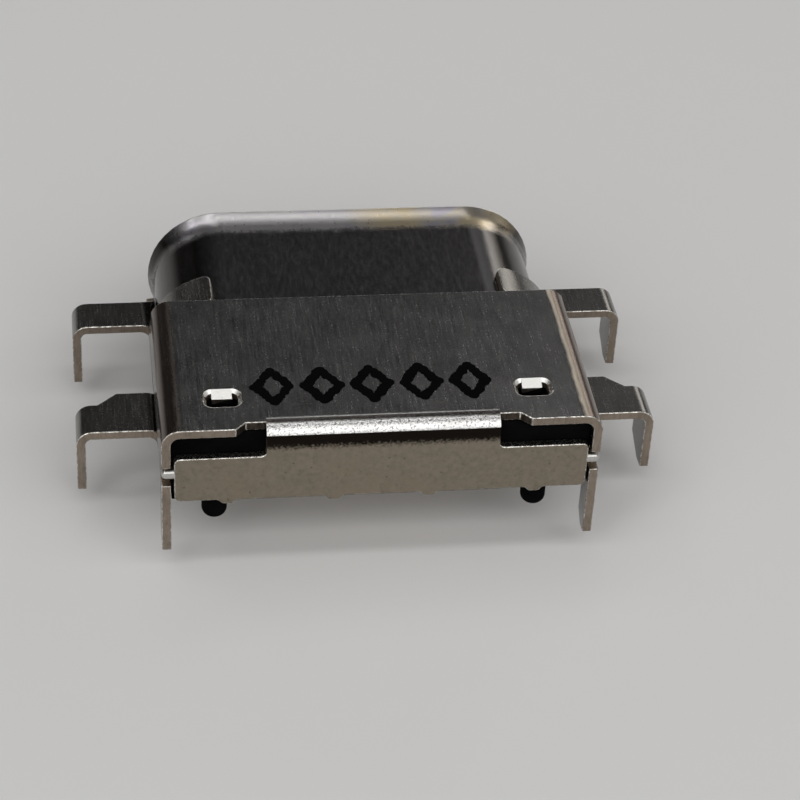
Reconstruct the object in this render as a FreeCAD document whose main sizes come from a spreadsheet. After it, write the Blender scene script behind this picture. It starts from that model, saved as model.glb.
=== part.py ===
import FreeCAD, Part

import math
import os
import re

import Sketcher

# A receptacle for a reversible plug with twenty-four contacts, set in a cut-out at a board's edge.
# X runs to the right seen from behind, Y towards the mouth, Z up from the board's top face.
# The origin lies midway between the two locating pegs. All lengths are in millimetres.

CONTACTS_PER_ROW = 12

DIMENSIONS = {
    # Fits and stock
    "fit_gap": 0.02,
    "cut_margin": 1.0,
    "steel": 0.2,
    "fold_inner": 0.2,
    # Drawn tube that the plug enters
    "mouth_width": 8.34,
    "mouth_height": 2.56,
    "tube_wall": 0.28,
    "tube_axis": 0.17,
    "cavity_depth": 6.20,
    "lip_flare": 0.15,
    "lip_length": 0.50,
    "lip_round": 0.06,
    # Folded cover
    "cover_rear": -0.95,
    "roof_overlap": 2.75,
    "wall_clearance": 0.06,
    "wall_round": 0.45,
    # Rear legs of the cover
    "rear_leg_width": 0.57,
    "rear_leg_tip": 0.28,
    "rear_leg_taper": 0.25,
    "leg_low": -1.21,
    # Rear flap
    "flap_shoulder": 1.93,
    "flap_side_gap": 0.07,
    "flap_neck_length": 0.34,
    "flap_foot": 0.10,
    "flap_round": 0.13,
    "relief_floor_width": 0.43,
    "relief_slant": 0.22,
    "relief_depth": 0.23,
    "nub_inner": 1.02,
    "nub_inset": 1.11,
    "nub_root": 0.40,
    "nub_tip": 0.20,
    "dot_below_top": 0.42,
    "dot_round": 0.11,
    "dot_dome": 0.08,
    "notch_above_dot": 0.19,
    "notch_below_dot": 0.27,
    "notch_depth": 0.25,
    # Pressed windows in the roof
    "window_inset": 1.34,
    "window_setback": 1.12,
    "window_width": 0.66,
    "window_length": 0.50,
    "window_round": 0.13,
    "window_rim": 0.07,
    "tab_width": 0.43,
    "tab_reach": 0.14,
    "tab_drop": 0.12,
    "tab_thick": 0.13,
    # Cradle with wings and legs
    "cradle_setback": 0.05,
    "cradle_lip_room": 0.25,
    "wing_under": 0.14,
    "leg_reach": 1.74,
    "knee_inner": 0.15,
    "rear_wing_start": 0.10,
    "rear_wing_root": 1.40,
    "rear_wing_tip": 1.00,
    "shoulder_inset": 0.91,
    "shoulder_slant": 0.42,
    "front_wing_end": 0.70,
    "front_wing_width": 0.95,
    "flare_round": 0.55,
    "leg_taper": 0.31,
    "leg_tip": 0.36,
    "strap_past": 0.40,
    "strap_lean": 0.33,
    "strap_round": 0.20,
    # Moulded housing
    "block_front": 1.08,
    "plug_length": 0.37,
    "cavity_top": 0.64,
    "bar_rear": -0.13,
    "bar_front": 0.15,
    "bar_top": 0.30,
    "peg_inset": 0.95,
    "peg_round": 0.275,
    "peg_length": 1.00,
    "peg_end_round": 0.18,
    "well_depth": 0.50,
    # Tongue, in two moulded halves
    "tongue_side_room": 0.825,
    "tongue_thick": 0.70,
    "tongue_recess": 1.10,
    "tongue_chamfer": 0.12,
    "root_side_step": 0.055,
    "root_half_height": 0.65,
    "root_length": 1.45,
    "root_round": 0.12,
    "tail_side_step": 0.345,
    "tail_rear": 0.03,
    "latch_setback": 1.75,
    "latch_length": 1.10,
    "latch_depth": 0.35,
    # Plate between the halves
    "plate_thick": 0.15,
    "plate_inset": 0.145,
    "plate_setback": 0.15,
    "plate_tip_room": 0.20,
    "plate_notch": 0.12,
    # Ground pads on the tongue's root
    "pad_inset": 0.50,
    "pad_setback": 0.23,
    "pad_front_room": 0.14,
    "pad_thick": 0.12,
    "pad_round": 0.20,
    "proud": 0.01,
    # Contacts
    "contact_inset": 0.595,
    "contact_width": 0.25,
    "contact_thick": 0.12,
    "contact_bend": 0.05,
    "long_setback": 0.35,
    "short_setback": 0.85,
    "drop_room": 0.03,
    "foot_room": 0.08,
    "rise_room": 0.15,
    "pin_near": 0.30,
    "pin_far": 0.80,
    "pin_low": -0.80,
}

# Sizes that follow from the ones above, written in their names.
FORMULAS = {
    "fold_outer": "fold_inner + steel",
    "mouth_round": "mouth_height / 2",
    "tube_half_width": "mouth_width / 2 + tube_wall",
    "tube_half_height": "mouth_height / 2 + tube_wall",
    "tube_spread": "mouth_width / 2 - mouth_height / 2",
    "tube_rear": "block_front + fit_gap",
    "cavity_floor": "block_front + plug_length",
    "mouth_front": "cavity_floor + cavity_depth",
    "lip_start": "mouth_front - lip_length",
    # Cover
    "wall_inner": "tube_half_width + fit_gap",
    "wall_outer": "wall_inner + steel",
    "roof_under": "tube_axis + tube_half_height + fit_gap",
    "roof_top": "roof_under + steel",
    "roof_front": "tube_rear + roof_overlap",
    "wall_foot": "wing_top + wall_clearance",
    "rear_leg_front": "cover_rear + rear_leg_width",
    "flap_bend": "cover_rear + fold_outer",
    "flap_inner": "cover_rear + steel",
    "neck_low": "roof_top - fold_outer",
    "flap_top": "neck_low - flap_neck_length",
    "flap_half": "wall_inner - flap_side_gap",
    "flap_neck": "flap_half - flap_shoulder",
    "relief_floor": "flap_neck + relief_floor_width",
    "relief_side": "relief_floor + relief_slant",
    "nub_outer": "flap_half - nub_inset",
    "dot_centre": "flap_top - dot_below_top",
    "notch_low": "dot_centre - notch_below_dot",
    "notch_high": "dot_centre + notch_above_dot",
    "window_across": "wall_outer - window_inset",
    "window_along": "cover_rear + window_setback",
    "window_front": "window_along + window_length / 2",
    # Cradle, whose fold starts where it is tangent to the curve round the tube
    "cradle_rear": "tube_rear + cradle_setback",
    "cradle_front": "lip_start - cradle_lip_room",
    "cradle_inner": "tube_half_height + fit_gap",
    "cradle_outer": "cradle_inner + steel",
    "wing_top": "wing_under + steel",
    "fold_height": "wing_under - fold_inner",
    "fold_reach": "cradle_outer + fold_inner",
    "fold_drop": "tube_axis - fold_height",
    "fold_across": "sqrt(fold_reach * fold_reach - fold_drop * fold_drop)",
    "fold_centre": "tube_spread + fold_across",
    "outer_root_x": "tube_spread + cradle_outer * fold_across / fold_reach",
    "outer_root_z": "tube_axis - cradle_outer * fold_drop / fold_reach",
    "inner_root_x": "tube_spread + cradle_inner * fold_across / fold_reach",
    "inner_root_z": "tube_axis - cradle_inner * fold_drop / fold_reach",
    "leg_outer": "wall_outer + leg_reach",
    "leg_inner": "leg_outer - steel",
    "knee_outer": "knee_inner + steel",
    "knee_centre": "leg_inner - knee_inner",
    "knee_low": "wing_under - knee_inner",
    "shoulder_start": "leg_outer - shoulder_inset",
    "shoulder_end": "shoulder_start + shoulder_slant",
    "rear_wing_near": "cradle_rear + rear_wing_start",
    "front_wing_far": "cradle_front - front_wing_end",
    "front_wing_near": "front_wing_far - front_wing_width",
    # Straps, which hug the tube's shoulders in front of the cover
    "strap_near": "roof_front + fit_gap",
    "strap_far": "front_wing_near - fit_gap",
    "strap_end_x": "tube_spread + strap_past",
    "strap_end_z": "tube_axis + sqrt(cradle_outer * cradle_outer - strap_past * strap_past)",
    "strap_tip_x": "tube_spread + strap_past * cradle_inner / cradle_outer",
    "strap_tip_z": "tube_axis + (strap_end_z - tube_axis) * cradle_inner / cradle_outer",
    # Housing
    "block_half": "wall_inner - fit_gap",
    "block_rear": "flap_inner + fit_gap",
    "block_top": "roof_under - fit_gap",
    "plug_half_height": "mouth_height / 2 - fit_gap",
    "cavity_half": "tail_half + fit_gap",
    "peg_across": "block_half - peg_inset",
    # Tongue
    "half_gap": "fit_gap / 2",
    "tongue_half": "mouth_width / 2 - tongue_side_room",
    "tongue_top": "tube_axis + tongue_thick / 2",
    "tongue_low": "tube_axis - tongue_thick / 2",
    "tongue_front": "mouth_front - tongue_recess",
    "root_half": "tongue_half + root_side_step",
    "root_top": "tube_axis + root_half_height",
    "root_low": "tube_axis - root_half_height",
    "root_front": "cavity_floor + root_length",
    "tail_half": "tongue_half - tail_side_step",
    "tail_split": "bar_top + fit_gap",
    "tail_top": "cavity_top - fit_gap",
    "tail_front": "cavity_floor + half_gap",
    "tail_front_face": "tube_rear + fit_gap",
    "tail_rear_upper": "bar_rear + tail_rear",
    "tail_rear_lower": "bar_front + fit_gap",
    "latch_far": "tongue_front - latch_setback",
    "latch_near": "latch_far - latch_length",
    "plate_half": "tongue_half - plate_inset",
    "plate_rear": "cavity_floor + plate_setback",
    "plate_front": "tongue_front - plate_tip_room",
    "plate_seat": "plate_thick / 2 + half_gap",
    "pad_half": "root_half - pad_inset",
    "pad_rear": "cavity_floor + pad_setback",
    "pad_front": "root_front - pad_front_room",
    # Contacts
    "contact_pitch": f"2 * (tongue_half - contact_inset) / {CONTACTS_PER_ROW - 1}",
    "half_thick": "contact_thick / 2",
    "contact_bend_outer": "contact_bend + contact_thick",
    "long_front": "tongue_front - long_setback",
    "short_front": "tongue_front - short_setback",
    "upper_top": "tongue_top + proud",
    "upper_low": "upper_top - contact_thick",
    "upper_drop": "bar_rear - drop_room - half_thick",
    "upper_foot": "flap_inner + foot_room",
    "lower_low": "tongue_low - proud",
    "lower_top": "lower_low + contact_thick",
    "lower_rise": "cavity_floor - rise_room",
    "lower_tail": "(bar_top + fit_gap) / 2 + half_thick - fit_gap",
}

document = FreeCAD.newDocument("receptacle")
sizes = document.addObject("Spreadsheet::Sheet", "sizes")


def fill_sheet():
    """Write every driving size to the sheet under its own name."""
    for row, (name, value) in enumerate(DIMENSIONS.items(), start=1):
        sizes.set(f"A{row}", name)
        sizes.set(f"B{row}", str(value))
        sizes.setAlias(f"B{row}", name)
    document.recompute()


def bound(text):
    """Expand the formulas in a text and point each size at its cell."""

    def swap(match):
        word = match.group(0)
        if word in FORMULAS:
            return "(" + bound(FORMULAS[word]) + ")"
        if word in DIMENSIONS:
            return "sizes." + word
        return word

    return re.sub(r"[a-z][a-z_]*", swap, text)


def size(text):
    """The value of an expression, in millimetres."""
    return float(sizes.evalExpression(bound(text)))


def new_body(label):
    body = document.addObject("PartDesign::Body", label)
    body.Label = label
    return body


def new_sketch(body, plane, offset="0"):
    """A sketch on one of the body's own planes, moved along the plane's normal."""
    sketch = body.newObject("Sketcher::SketchObject", "sketch")
    roles = {feature.Role: feature for feature in body.Origin.OriginFeatures}
    sketch.AttachmentSupport = (roles[plane + "_Plane"], [""])
    sketch.MapMode = "FlatFace"
    sketch.setExpression("AttachmentOffset.Base.z", bound(offset))
    return sketch


def hold(sketch, edge, end, point):
    """Tie one end of an edge, or a circle's centre, to a pair of expressions."""
    for kind, text in zip(("DistanceX", "DistanceY"), point):
        index = sketch.addConstraint(Sketcher.Constraint(kind, -1, 1, edge, end, size(text)))
        sketch.setExpression(f"Constraints[{index}]", bound(text))


def hold_radius(sketch, edge, text):
    index = sketch.addConstraint(Sketcher.Constraint("Radius", edge, size(text)))
    sketch.setExpression(f"Constraints[{index}]", bound(text))


def arc_between(first, last, radius, turn):
    """The short arc from first to last, turning left (+1) or right (-1)."""
    chord = last - first
    middle = (first + last) * 0.5
    height = math.sqrt(max(radius * radius - chord.Length * chord.Length / 4, 0.0))
    left = FreeCAD.Vector(-chord.y, chord.x, 0).normalize()
    centre = middle + left * height * turn
    start, end = (first, last) if turn > 0 else (last, first)
    start_angle = math.atan2(start.y - centre.y, start.x - centre.x)
    end_angle = math.atan2(end.y - centre.y, end.x - centre.x)
    circle = Part.Circle(centre, FreeCAD.Vector(0, 0, 1), radius)
    return Part.ArcOfCircle(circle, start_angle, end_angle)


def add_outline(sketch, corners):
    """Close an outline. A corner is (x, y), or (x, y, radius, turn) where an arc leads on."""
    points = [FreeCAD.Vector(size(corner[0]), size(corner[1]), 0) for corner in corners]
    edges = []
    for number, corner in enumerate(corners):
        first = points[number]
        last = points[(number + 1) % len(points)]
        if len(corner) == 2:
            edges.append((sketch.addGeometry(Part.LineSegment(first, last), False), 1, 2))
        else:
            arc = arc_between(first, last, size(corner[2]), corner[3])
            ends = (1, 2) if corner[3] > 0 else (2, 1)
            edges.append((sketch.addGeometry(arc, False), *ends))
    for number, corner in enumerate(corners):
        edge, begin, finish = edges[number]
        following, following_begin, _ = edges[(number + 1) % len(edges)]
        sketch.addConstraint(Sketcher.Constraint("Coincident", edge, finish, following, following_begin))
        hold(sketch, edge, begin, corner[:2])
        if len(corner) > 2:
            hold_radius(sketch, edge, corner[2])


def add_circle(sketch, centre, radius):
    middle = FreeCAD.Vector(size(centre[0]), size(centre[1]), 0)
    circle = Part.Circle(middle, FreeCAD.Vector(0, 0, 1), size(radius))
    edge = sketch.addGeometry(circle, False)
    hold(sketch, edge, 3, centre)
    hold_radius(sketch, edge, radius)


def add_box_outline(sketch, left, right, low, high):
    add_outline(sketch, [(left, low), (right, low), (right, high), (left, high)])


def rounded_box(left, right, low, high, radius):
    """Corners of a rectangle with four round corners."""
    return [
        (f"{left} + {radius}", low),
        (f"{right} - {radius}", low, radius, 1),
        (right, f"{low} + {radius}"),
        (right, f"{high} - {radius}", radius, 1),
        (f"{right} - {radius}", high),
        (f"{left} + {radius}", high, radius, 1),
        (left, f"{high} - {radius}"),
        (left, f"{low} + {radius}", radius, 1),
    ]


def stadium(half_height):
    """Corners of the mouth's rounded section at a given half height."""
    low = f"tube_axis - {half_height}"
    high = f"tube_axis + {half_height}"
    side = f"tube_spread + {half_height}"
    return [
        ("-tube_spread", low),
        ("tube_spread", low, half_height, 1),
        (side, "tube_axis", half_height, 1),
        ("tube_spread", high),
        ("-tube_spread", high, half_height, 1),
        (f"-({side})", "tube_axis", half_height, 1),
    ]


def add_feature(body, kind, sketch, length, side="One side", reverse=False):
    """Pad or pocket a sketch and check that it changed the solid the right way."""
    before = body.Shape.Volume if body.Tip and not body.Shape.isNull() else 0.0
    feature = body.newObject("PartDesign::" + kind, kind.lower())
    feature.Profile = sketch
    feature.SideType = side
    feature.Reversed = reverse
    if length is None:
        feature.Type = "ThroughAll"
    else:
        feature.setExpression("Length", bound(length))
    document.recompute()
    change = feature.Shape.Volume - before
    if (kind == "Pad") != (change > 0):
        raise RuntimeError(f"{body.Label}: {feature.Name} changed the volume by {change}")
    return feature


def pad(body, sketch, length, reverse=False):
    return add_feature(body, "Pad", sketch, length, reverse=reverse)


def pad_both(body, sketch, width):
    return add_feature(body, "Pad", sketch, width, side="Symmetric")


def cut(body, sketch, length, reverse=False):
    return add_feature(body, "Pocket", sketch, length, reverse=reverse)


def cut_both(body, sketch, width):
    return add_feature(body, "Pocket", sketch, width, side="Symmetric")


def cut_through(body, sketch):
    return add_feature(body, "Pocket", sketch, None, side="Symmetric")


def find_edges(shape, keep):
    return [f"Edge{number}" for number, edge in enumerate(shape.Edges, start=1) if keep(edge)]


def runs_along(edge, axis):
    """Whether an edge is straight and parallel to an axis, given as 0, 1 or 2."""
    if edge.Curve.TypeId != "Part::GeomLine":
        return False
    return abs(abs(edge.Curve.Direction[axis]) - 1) < 1e-6


def near(value, text):
    return abs(value - size(text)) < 1e-4


def finish_edges(body, kind, keep, radius):
    """Fillet or chamfer the edges that a test keeps."""
    base = body.Tip
    feature = body.newObject("PartDesign::" + kind, kind.lower())
    feature.Base = (base, find_edges(base.Shape, keep))
    feature.setExpression("Radius" if kind == "Fillet" else "Size", bound(radius))
    document.recompute()
    return feature


def build_tube():
    """The drawn tube, with its front edge flared as a lead-in."""
    body = new_body("front_shell")
    outside = new_sketch(body, "XZ", "-lip_start")
    add_outline(outside, stadium("tube_half_height"))
    pad(body, outside, "lip_start - tube_rear")
    flare = new_sketch(body, "XZ", "-mouth_front")
    add_outline(flare, stadium("(tube_half_height + lip_flare)"))
    lip = body.newObject("PartDesign::AdditiveLoft", "lip")
    lip.Profile = outside
    lip.Sections = [flare]
    document.recompute()
    inside = new_sketch(body, "XZ", "-lip_start")
    add_outline(inside, stadium("mouth_round"))
    cut(body, inside, "lip_start - tube_rear", reverse=True)
    opening = new_sketch(body, "XZ", "-mouth_front")
    add_outline(opening, stadium("(mouth_round + lip_flare)"))
    lead = body.newObject("PartDesign::SubtractiveLoft", "lead")
    lead.Profile = inside
    lead.Sections = [opening]
    document.recompute()
    front = size("mouth_front")
    finish_edges(body, "Fillet", lambda edge: abs(edge.BoundBox.YMin - front) < 1e-4, "lip_round")
    return body


def cover_section(body):
    """Roof and two side walls, folded from one sheet."""
    section = new_sketch(body, "XZ", "-roof_front")
    low = "leg_low"
    add_outline(section, [
        ("-wall_outer", low),
        ("-wall_inner", low),
        ("-wall_inner", "roof_under - fold_inner", "fold_inner", -1),
        ("-(wall_inner - fold_inner)", "roof_under"),
        ("wall_inner - fold_inner", "roof_under", "fold_inner", -1),
        ("wall_inner", "roof_under - fold_inner"),
        ("wall_inner", low),
        ("wall_outer", low),
        ("wall_outer", "roof_top - fold_outer", "fold_outer", 1),
        ("wall_outer - fold_outer", "roof_top"),
        ("-(wall_outer - fold_outer)", "roof_top", "fold_outer", 1),
        ("-wall_outer", "roof_top - fold_outer"),
    ])
    pad(body, section, "roof_front - cover_rear")


def trim_cover_walls(body):
    """Cut the walls to their foot line, leaving a tapered leg at each rear corner."""
    below = "leg_low - cut_margin"
    past = "roof_front + cut_margin"
    trim = new_sketch(body, "YZ")
    add_outline(trim, [
        ("cover_rear + rear_leg_tip", below),
        (past, below),
        (past, "wall_foot + wall_round"),
        ("roof_front", "wall_foot + wall_round", "wall_round", -1),
        ("roof_front - wall_round", "wall_foot"),
        ("rear_leg_front + fold_inner", "wall_foot", "fold_inner", 1),
        ("rear_leg_front", "wall_foot - fold_inner"),
        ("rear_leg_front", "leg_low + rear_leg_taper"),
        ("cover_rear + rear_leg_tip", "leg_low"),
    ])
    cut_through(body, trim)
    notch = new_sketch(body, "YZ")
    add_box_outline(notch, "cover_rear - cut_margin", "cover_rear + notch_depth", "notch_low", "notch_high")
    cut_through(body, notch)


def trim_roof(body):
    """Open the roof beside the rear flap's neck."""
    rear = new_sketch(body, "XY")
    behind = "cover_rear - cut_margin"
    floor = "cover_rear + relief_depth"
    add_outline(rear, [
        ("-relief_side", behind),
        ("relief_side", behind),
        ("relief_side", "cover_rear"),
        ("relief_floor", floor),
        ("flap_neck", floor),
        ("flap_neck", "flap_bend"),
        ("-flap_neck", "flap_bend"),
        ("-flap_neck", floor),
        ("-relief_floor", floor),
        ("-relief_side", "cover_rear"),
    ])
    cut_through(body, rear)


def press_windows(body):
    """Two windows in the roof, each with a tab pressed down from its front edge."""
    holes = new_sketch(body, "XY")
    for side in ("-", "+"):
        across = f"({side}1 * window_across)"
        add_outline(holes, rounded_box(
            f"({across} - window_width / 2)",
            f"({across} + window_width / 2)",
            "(window_along - window_length / 2)",
            "(window_along + window_length / 2)",
            "window_round",
        ))
    cut_through(body, holes)

    def on_rim(edge):
        box = edge.BoundBox
        level = near(box.ZMin, "roof_top") and near(box.ZMax, "roof_top")
        across = abs(edge.CenterOfMass.x)
        inside = size("window_across - window_width") < across < size("window_across + window_width")
        along = abs(edge.CenterOfMass.y - size("window_along")) <= size("window_length / 2") + 1e-4
        return level and inside and along

    finish_edges(body, "Chamfer", on_rim, "window_rim")
    for side in ("-", "+"):
        tab = new_sketch(body, "YZ", f"{side}1 * window_across")
        add_outline(tab, [
            ("window_front + window_rim", "roof_under"),
            ("window_front + window_rim", "roof_top"),
            ("window_front - tab_reach", "roof_top - tab_drop"),
            ("window_front - tab_reach", "roof_top - tab_drop - tab_thick"),
            ("window_front", "roof_under"),
        ])
        pad_both(body, tab, "tab_width")


def flap_outline():
    """Corners of the flap, anticlockwise from its left foot, with four nubs below it."""
    corners = [("-(flap_half - flap_round)", "flap_foot")]
    for place in ("-nub_outer", "-nub_inner", "nub_inner", "nub_outer"):
        corners += [
            (f"{place} - nub_root / 2", "flap_foot"),
            (f"{place} - nub_tip / 2", "0"),
            (f"{place} + nub_tip / 2", "0"),
            (f"{place} + nub_root / 2", "flap_foot"),
        ]
    right = [
        ("flap_half - flap_round", "flap_foot", "flap_round", 1),
        ("flap_half", "flap_foot + flap_round"),
        ("flap_half", "dot_centre - dot_round"),
        ("wall_outer - dot_round", "dot_centre - dot_round", "dot_round", 1),
        ("wall_outer", "dot_centre", "dot_round", 1),
        ("wall_outer - dot_round", "dot_centre + dot_round"),
        ("flap_half", "dot_centre + dot_round"),
        ("flap_half", "flap_top - flap_round", "flap_round", 1),
        ("flap_half - flap_round", "flap_top"),
        ("flap_neck + flap_round", "flap_top", "flap_round", -1),
        ("flap_neck", "flap_top + flap_round"),
        ("flap_neck", "neck_low"),
    ]
    left = [
        ("-flap_neck", "neck_low"),
        ("-flap_neck", "flap_top + flap_round", "flap_round", -1),
        ("-(flap_neck + flap_round)", "flap_top"),
        ("-(flap_half - flap_round)", "flap_top", "flap_round", 1),
        ("-flap_half", "flap_top - flap_round"),
        ("-flap_half", "dot_centre + dot_round"),
        ("-(wall_outer - dot_round)", "dot_centre + dot_round", "dot_round", 1),
        ("-wall_outer", "dot_centre", "dot_round", 1),
        ("-(wall_outer - dot_round)", "dot_centre - dot_round"),
        ("-flap_half", "dot_centre - dot_round"),
        ("-flap_half", "flap_foot + flap_round", "flap_round", 1),
    ]
    return corners + right + left


def fold_flap(body):
    """The rear flap, folded down from the roof's rear edge."""
    bend = new_sketch(body, "YZ")
    add_outline(bend, [
        ("flap_bend", "roof_top", "fold_outer", 1),
        ("cover_rear", "neck_low"),
        ("flap_inner", "neck_low", "fold_inner", -1),
        ("flap_bend", "roof_under"),
    ])
    pad_both(body, bend, "2 * flap_neck")
    plate = new_sketch(body, "XZ", "-cover_rear")
    add_outline(plate, flap_outline())
    pad(body, plate, "steel", reverse=True)

    def round_dot(edge):
        middle = edge.CenterOfMass
        level = abs(middle.z - size("dot_centre")) < size("dot_round") + size("fit_gap")
        return level and near(middle.y, "cover_rear") and abs(middle.x) > size("flap_half") + size("fit_gap")

    finish_edges(body, "Fillet", round_dot, "dot_dome")


def build_cover():
    body = new_body("rear_cover")
    cover_section(body)
    trim_cover_walls(body)
    trim_roof(body)
    press_windows(body)
    fold_flap(body)
    return body


def cradle_section(body):
    """The sheet that hugs the tube's lower half."""
    section = new_sketch(body, "XZ", "-cradle_rear")
    add_outline(section, [
        ("-tube_spread", "tube_axis - cradle_outer"),
        ("tube_spread", "tube_axis - cradle_outer", "cradle_outer", 1),
        ("outer_root_x", "outer_root_z"),
        ("inner_root_x", "inner_root_z", "cradle_inner", -1),
        ("tube_spread", "tube_axis - cradle_inner"),
        ("-tube_spread", "tube_axis - cradle_inner", "cradle_inner", -1),
        ("-inner_root_x", "inner_root_z"),
        ("-outer_root_x", "outer_root_z", "cradle_outer", 1),
    ])
    pad(body, section, "cradle_front - cradle_rear", reverse=True)


def wing_outline(side):
    """Section of a wing: up from the cradle, outwards, and down at the knee."""
    turn = 1 if side == "+" else -1

    def across(text):
        return f"{side}1 * ({text})"

    return [
        (across("outer_root_x"), "outer_root_z", "fold_inner", -turn),
        (across("fold_centre"), "wing_under"),
        (across("knee_centre"), "wing_under", "knee_inner", -turn),
        (across("leg_inner"), "knee_low"),
        (across("leg_outer"), "knee_low", "knee_outer", turn),
        (across("knee_centre"), "wing_top"),
        (across("fold_centre"), "wing_top", "fold_outer", turn),
        (across("inner_root_x"), "inner_root_z"),
    ]


def add_wings(body, near_edge, width):
    for side in ("-", "+"):
        section = new_sketch(body, "XZ", f"-({near_edge})")
        add_outline(section, wing_outline(side))
        pad(body, section, width, reverse=True)


def shape_wings(body):
    """Narrow the rear wings at a slanted shoulder and flare the front wings into the cradle."""
    for side in ("-", "+"):
        past = f"{side}1 * (leg_outer + cut_margin)"
        step = new_sketch(body, "XY")
        far = "rear_wing_near + rear_wing_root"
        narrow = "rear_wing_near + rear_wing_tip"
        add_outline(step, [
            (f"{side}1 * shoulder_start", far),
            (f"{side}1 * shoulder_end", narrow),
            (past, narrow),
            (past, f"{far} + fit_gap"),
            (f"{side}1 * shoulder_start", f"{far} + fit_gap"),
        ])
        cut_through(body, step)
        turn = 1 if side == "+" else -1
        flare = new_sketch(body, "XY")
        flare_end = "front_wing_far + flare_round"
        add_outline(flare, [
            (f"{side}1 * outer_root_x", flare_end, "flare_round", turn),
            (f"{side}1 * (outer_root_x + flare_round)", "front_wing_far"),
            (past, "front_wing_far"),
            (past, f"{flare_end} + fit_gap"),
            (f"{side}1 * outer_root_x", f"{flare_end} + fit_gap"),
        ])
        cut_through(body, flare)
    slope = new_sketch(body, "YZ")
    add_outline(slope, [
        ("front_wing_far", "wing_top"),
        ("front_wing_far + flare_round", "inner_root_z"),
        ("front_wing_far + flare_round + fit_gap", "inner_root_z"),
        ("front_wing_far + flare_round + fit_gap", "wing_top + fit_gap"),
        ("front_wing_far", "wing_top + fit_gap"),
    ])
    cut_through(body, slope)


def add_straps(body):
    """Straps that go on from the cradle up over the tube's shoulders, just in front of the cover."""
    for side, turn in (("-", -1), ("+", 1)):
        strap = new_sketch(body, "XZ", "-strap_near")
        add_outline(strap, [
            (f"{side}1 * outer_root_x", "outer_root_z", "cradle_outer", turn),
            (f"{side}1 * strap_end_x", "strap_end_z"),
            (f"{side}1 * strap_tip_x", "strap_tip_z", "cradle_inner", -turn),
            (f"{side}1 * inner_root_x", "inner_root_z"),
        ])
        pad(body, strap, "strap_far - strap_near", reverse=True)
    lean = new_sketch(body, "YZ")
    add_outline(lean, [
        ("strap_far", "wing_top"),
        ("strap_far + fit_gap", "wing_top"),
        ("strap_far + fit_gap", "roof_top + fit_gap"),
        ("strap_far - strap_lean", "roof_top + fit_gap"),
    ])
    cut_through(body, lean)

    def at_tip(edge):
        middle = edge.CenterOfMass
        at_end = size("strap_tip_x") < abs(middle.x) < size("strap_end_x") and middle.z > size("tube_axis")
        return at_end and edge.Curve.TypeId == "Part::GeomLine" and edge.Length < 2 * size("steel")

    finish_edges(body, "Fillet", at_tip, "strap_round")


def add_legs(body, near_edge, width):
    """A leg that hangs from each wing's knee and tapers on its far edge."""
    for side, start in (("-", "-leg_outer"), ("+", "leg_inner")):
        leg = new_sketch(body, "YZ", start)
        add_outline(leg, [
            (near_edge, "leg_low"),
            (f"{near_edge} + leg_tip", "leg_low"),
            (f"{near_edge} + {width}", "leg_low + leg_taper"),
            (f"{near_edge} + {width}", "knee_low"),
            (near_edge, "knee_low"),
        ])
        pad(body, leg, "steel")


def build_bracket():
    body = new_body("leg_bracket")
    cradle_section(body)
    add_wings(body, "rear_wing_near", "rear_wing_root")
    add_wings(body, "front_wing_near", "front_wing_width + flare_round")
    shape_wings(body)
    add_straps(body)
    add_legs(body, "rear_wing_near", "rear_wing_tip")
    add_legs(body, "front_wing_near", "front_wing_width")
    return body


def build_housing():
    """The moulded base: a block under the roof and a plug in the tube's rear end."""
    body = new_body("housing")
    block = new_sketch(body, "XZ", "-block_rear")
    add_box_outline(block, "-block_half", "block_half", "0", "block_top")
    pad(body, block, "block_front - block_rear", reverse=True)

    def under_fold(edge):
        middle = edge.CenterOfMass
        along_wall = runs_along(edge, 1)
        along_flap = runs_along(edge, 0) and near(middle.y, "block_rear")
        return near(middle.z, "block_top") and (along_wall or along_flap)

    finish_edges(body, "Fillet", under_fold, "fold_inner + fit_gap")
    plug = new_sketch(body, "XZ", "-block_front")
    add_outline(plug, stadium("plug_half_height"))
    pad(body, plug, "cavity_floor - block_front", reverse=True)
    tails = new_sketch(body, "YZ")
    behind = "block_rear - cut_margin"
    add_outline(tails, [
        (behind, "-cut_margin"),
        ("bar_rear", "-cut_margin"),
        ("bar_rear", "bar_top"),
        ("bar_front", "bar_top"),
        ("bar_front", "-cut_margin"),
        ("block_front", "-cut_margin"),
        ("block_front", "cavity_top"),
        (behind, "cavity_top"),
    ])
    cut_both(body, tails, "2 * cavity_half")
    root = new_sketch(body, "XZ", "-cavity_floor")
    add_outline(root, rounded_box(
        "(-root_half - fit_gap)", "(root_half + fit_gap)",
        "(root_low - fit_gap)", "(root_top + fit_gap)",
        "root_round",
    ))
    cut(body, root, "cavity_floor - block_front", reverse=True)
    for side in ("-", "+"):
        well = new_sketch(body, "XY", "block_top")
        across = f"{side}1 * window_across"
        add_box_outline(
            well,
            f"{across} - window_width / 2", f"{across} + window_width / 2",
            "window_along - window_length / 2", "window_front + fit_gap",
        )
        cut(body, well, "well_depth")
        peg = new_sketch(body, "XY")
        add_circle(peg, (f"{side}1 * peg_across", "0"), "peg_round")
        pad(body, peg, "peg_length", reverse=True)
    finish_edges(body, "Fillet", lambda edge: near(edge.BoundBox.ZMax, "-peg_length"), "peg_end_round")
    return body


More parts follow.
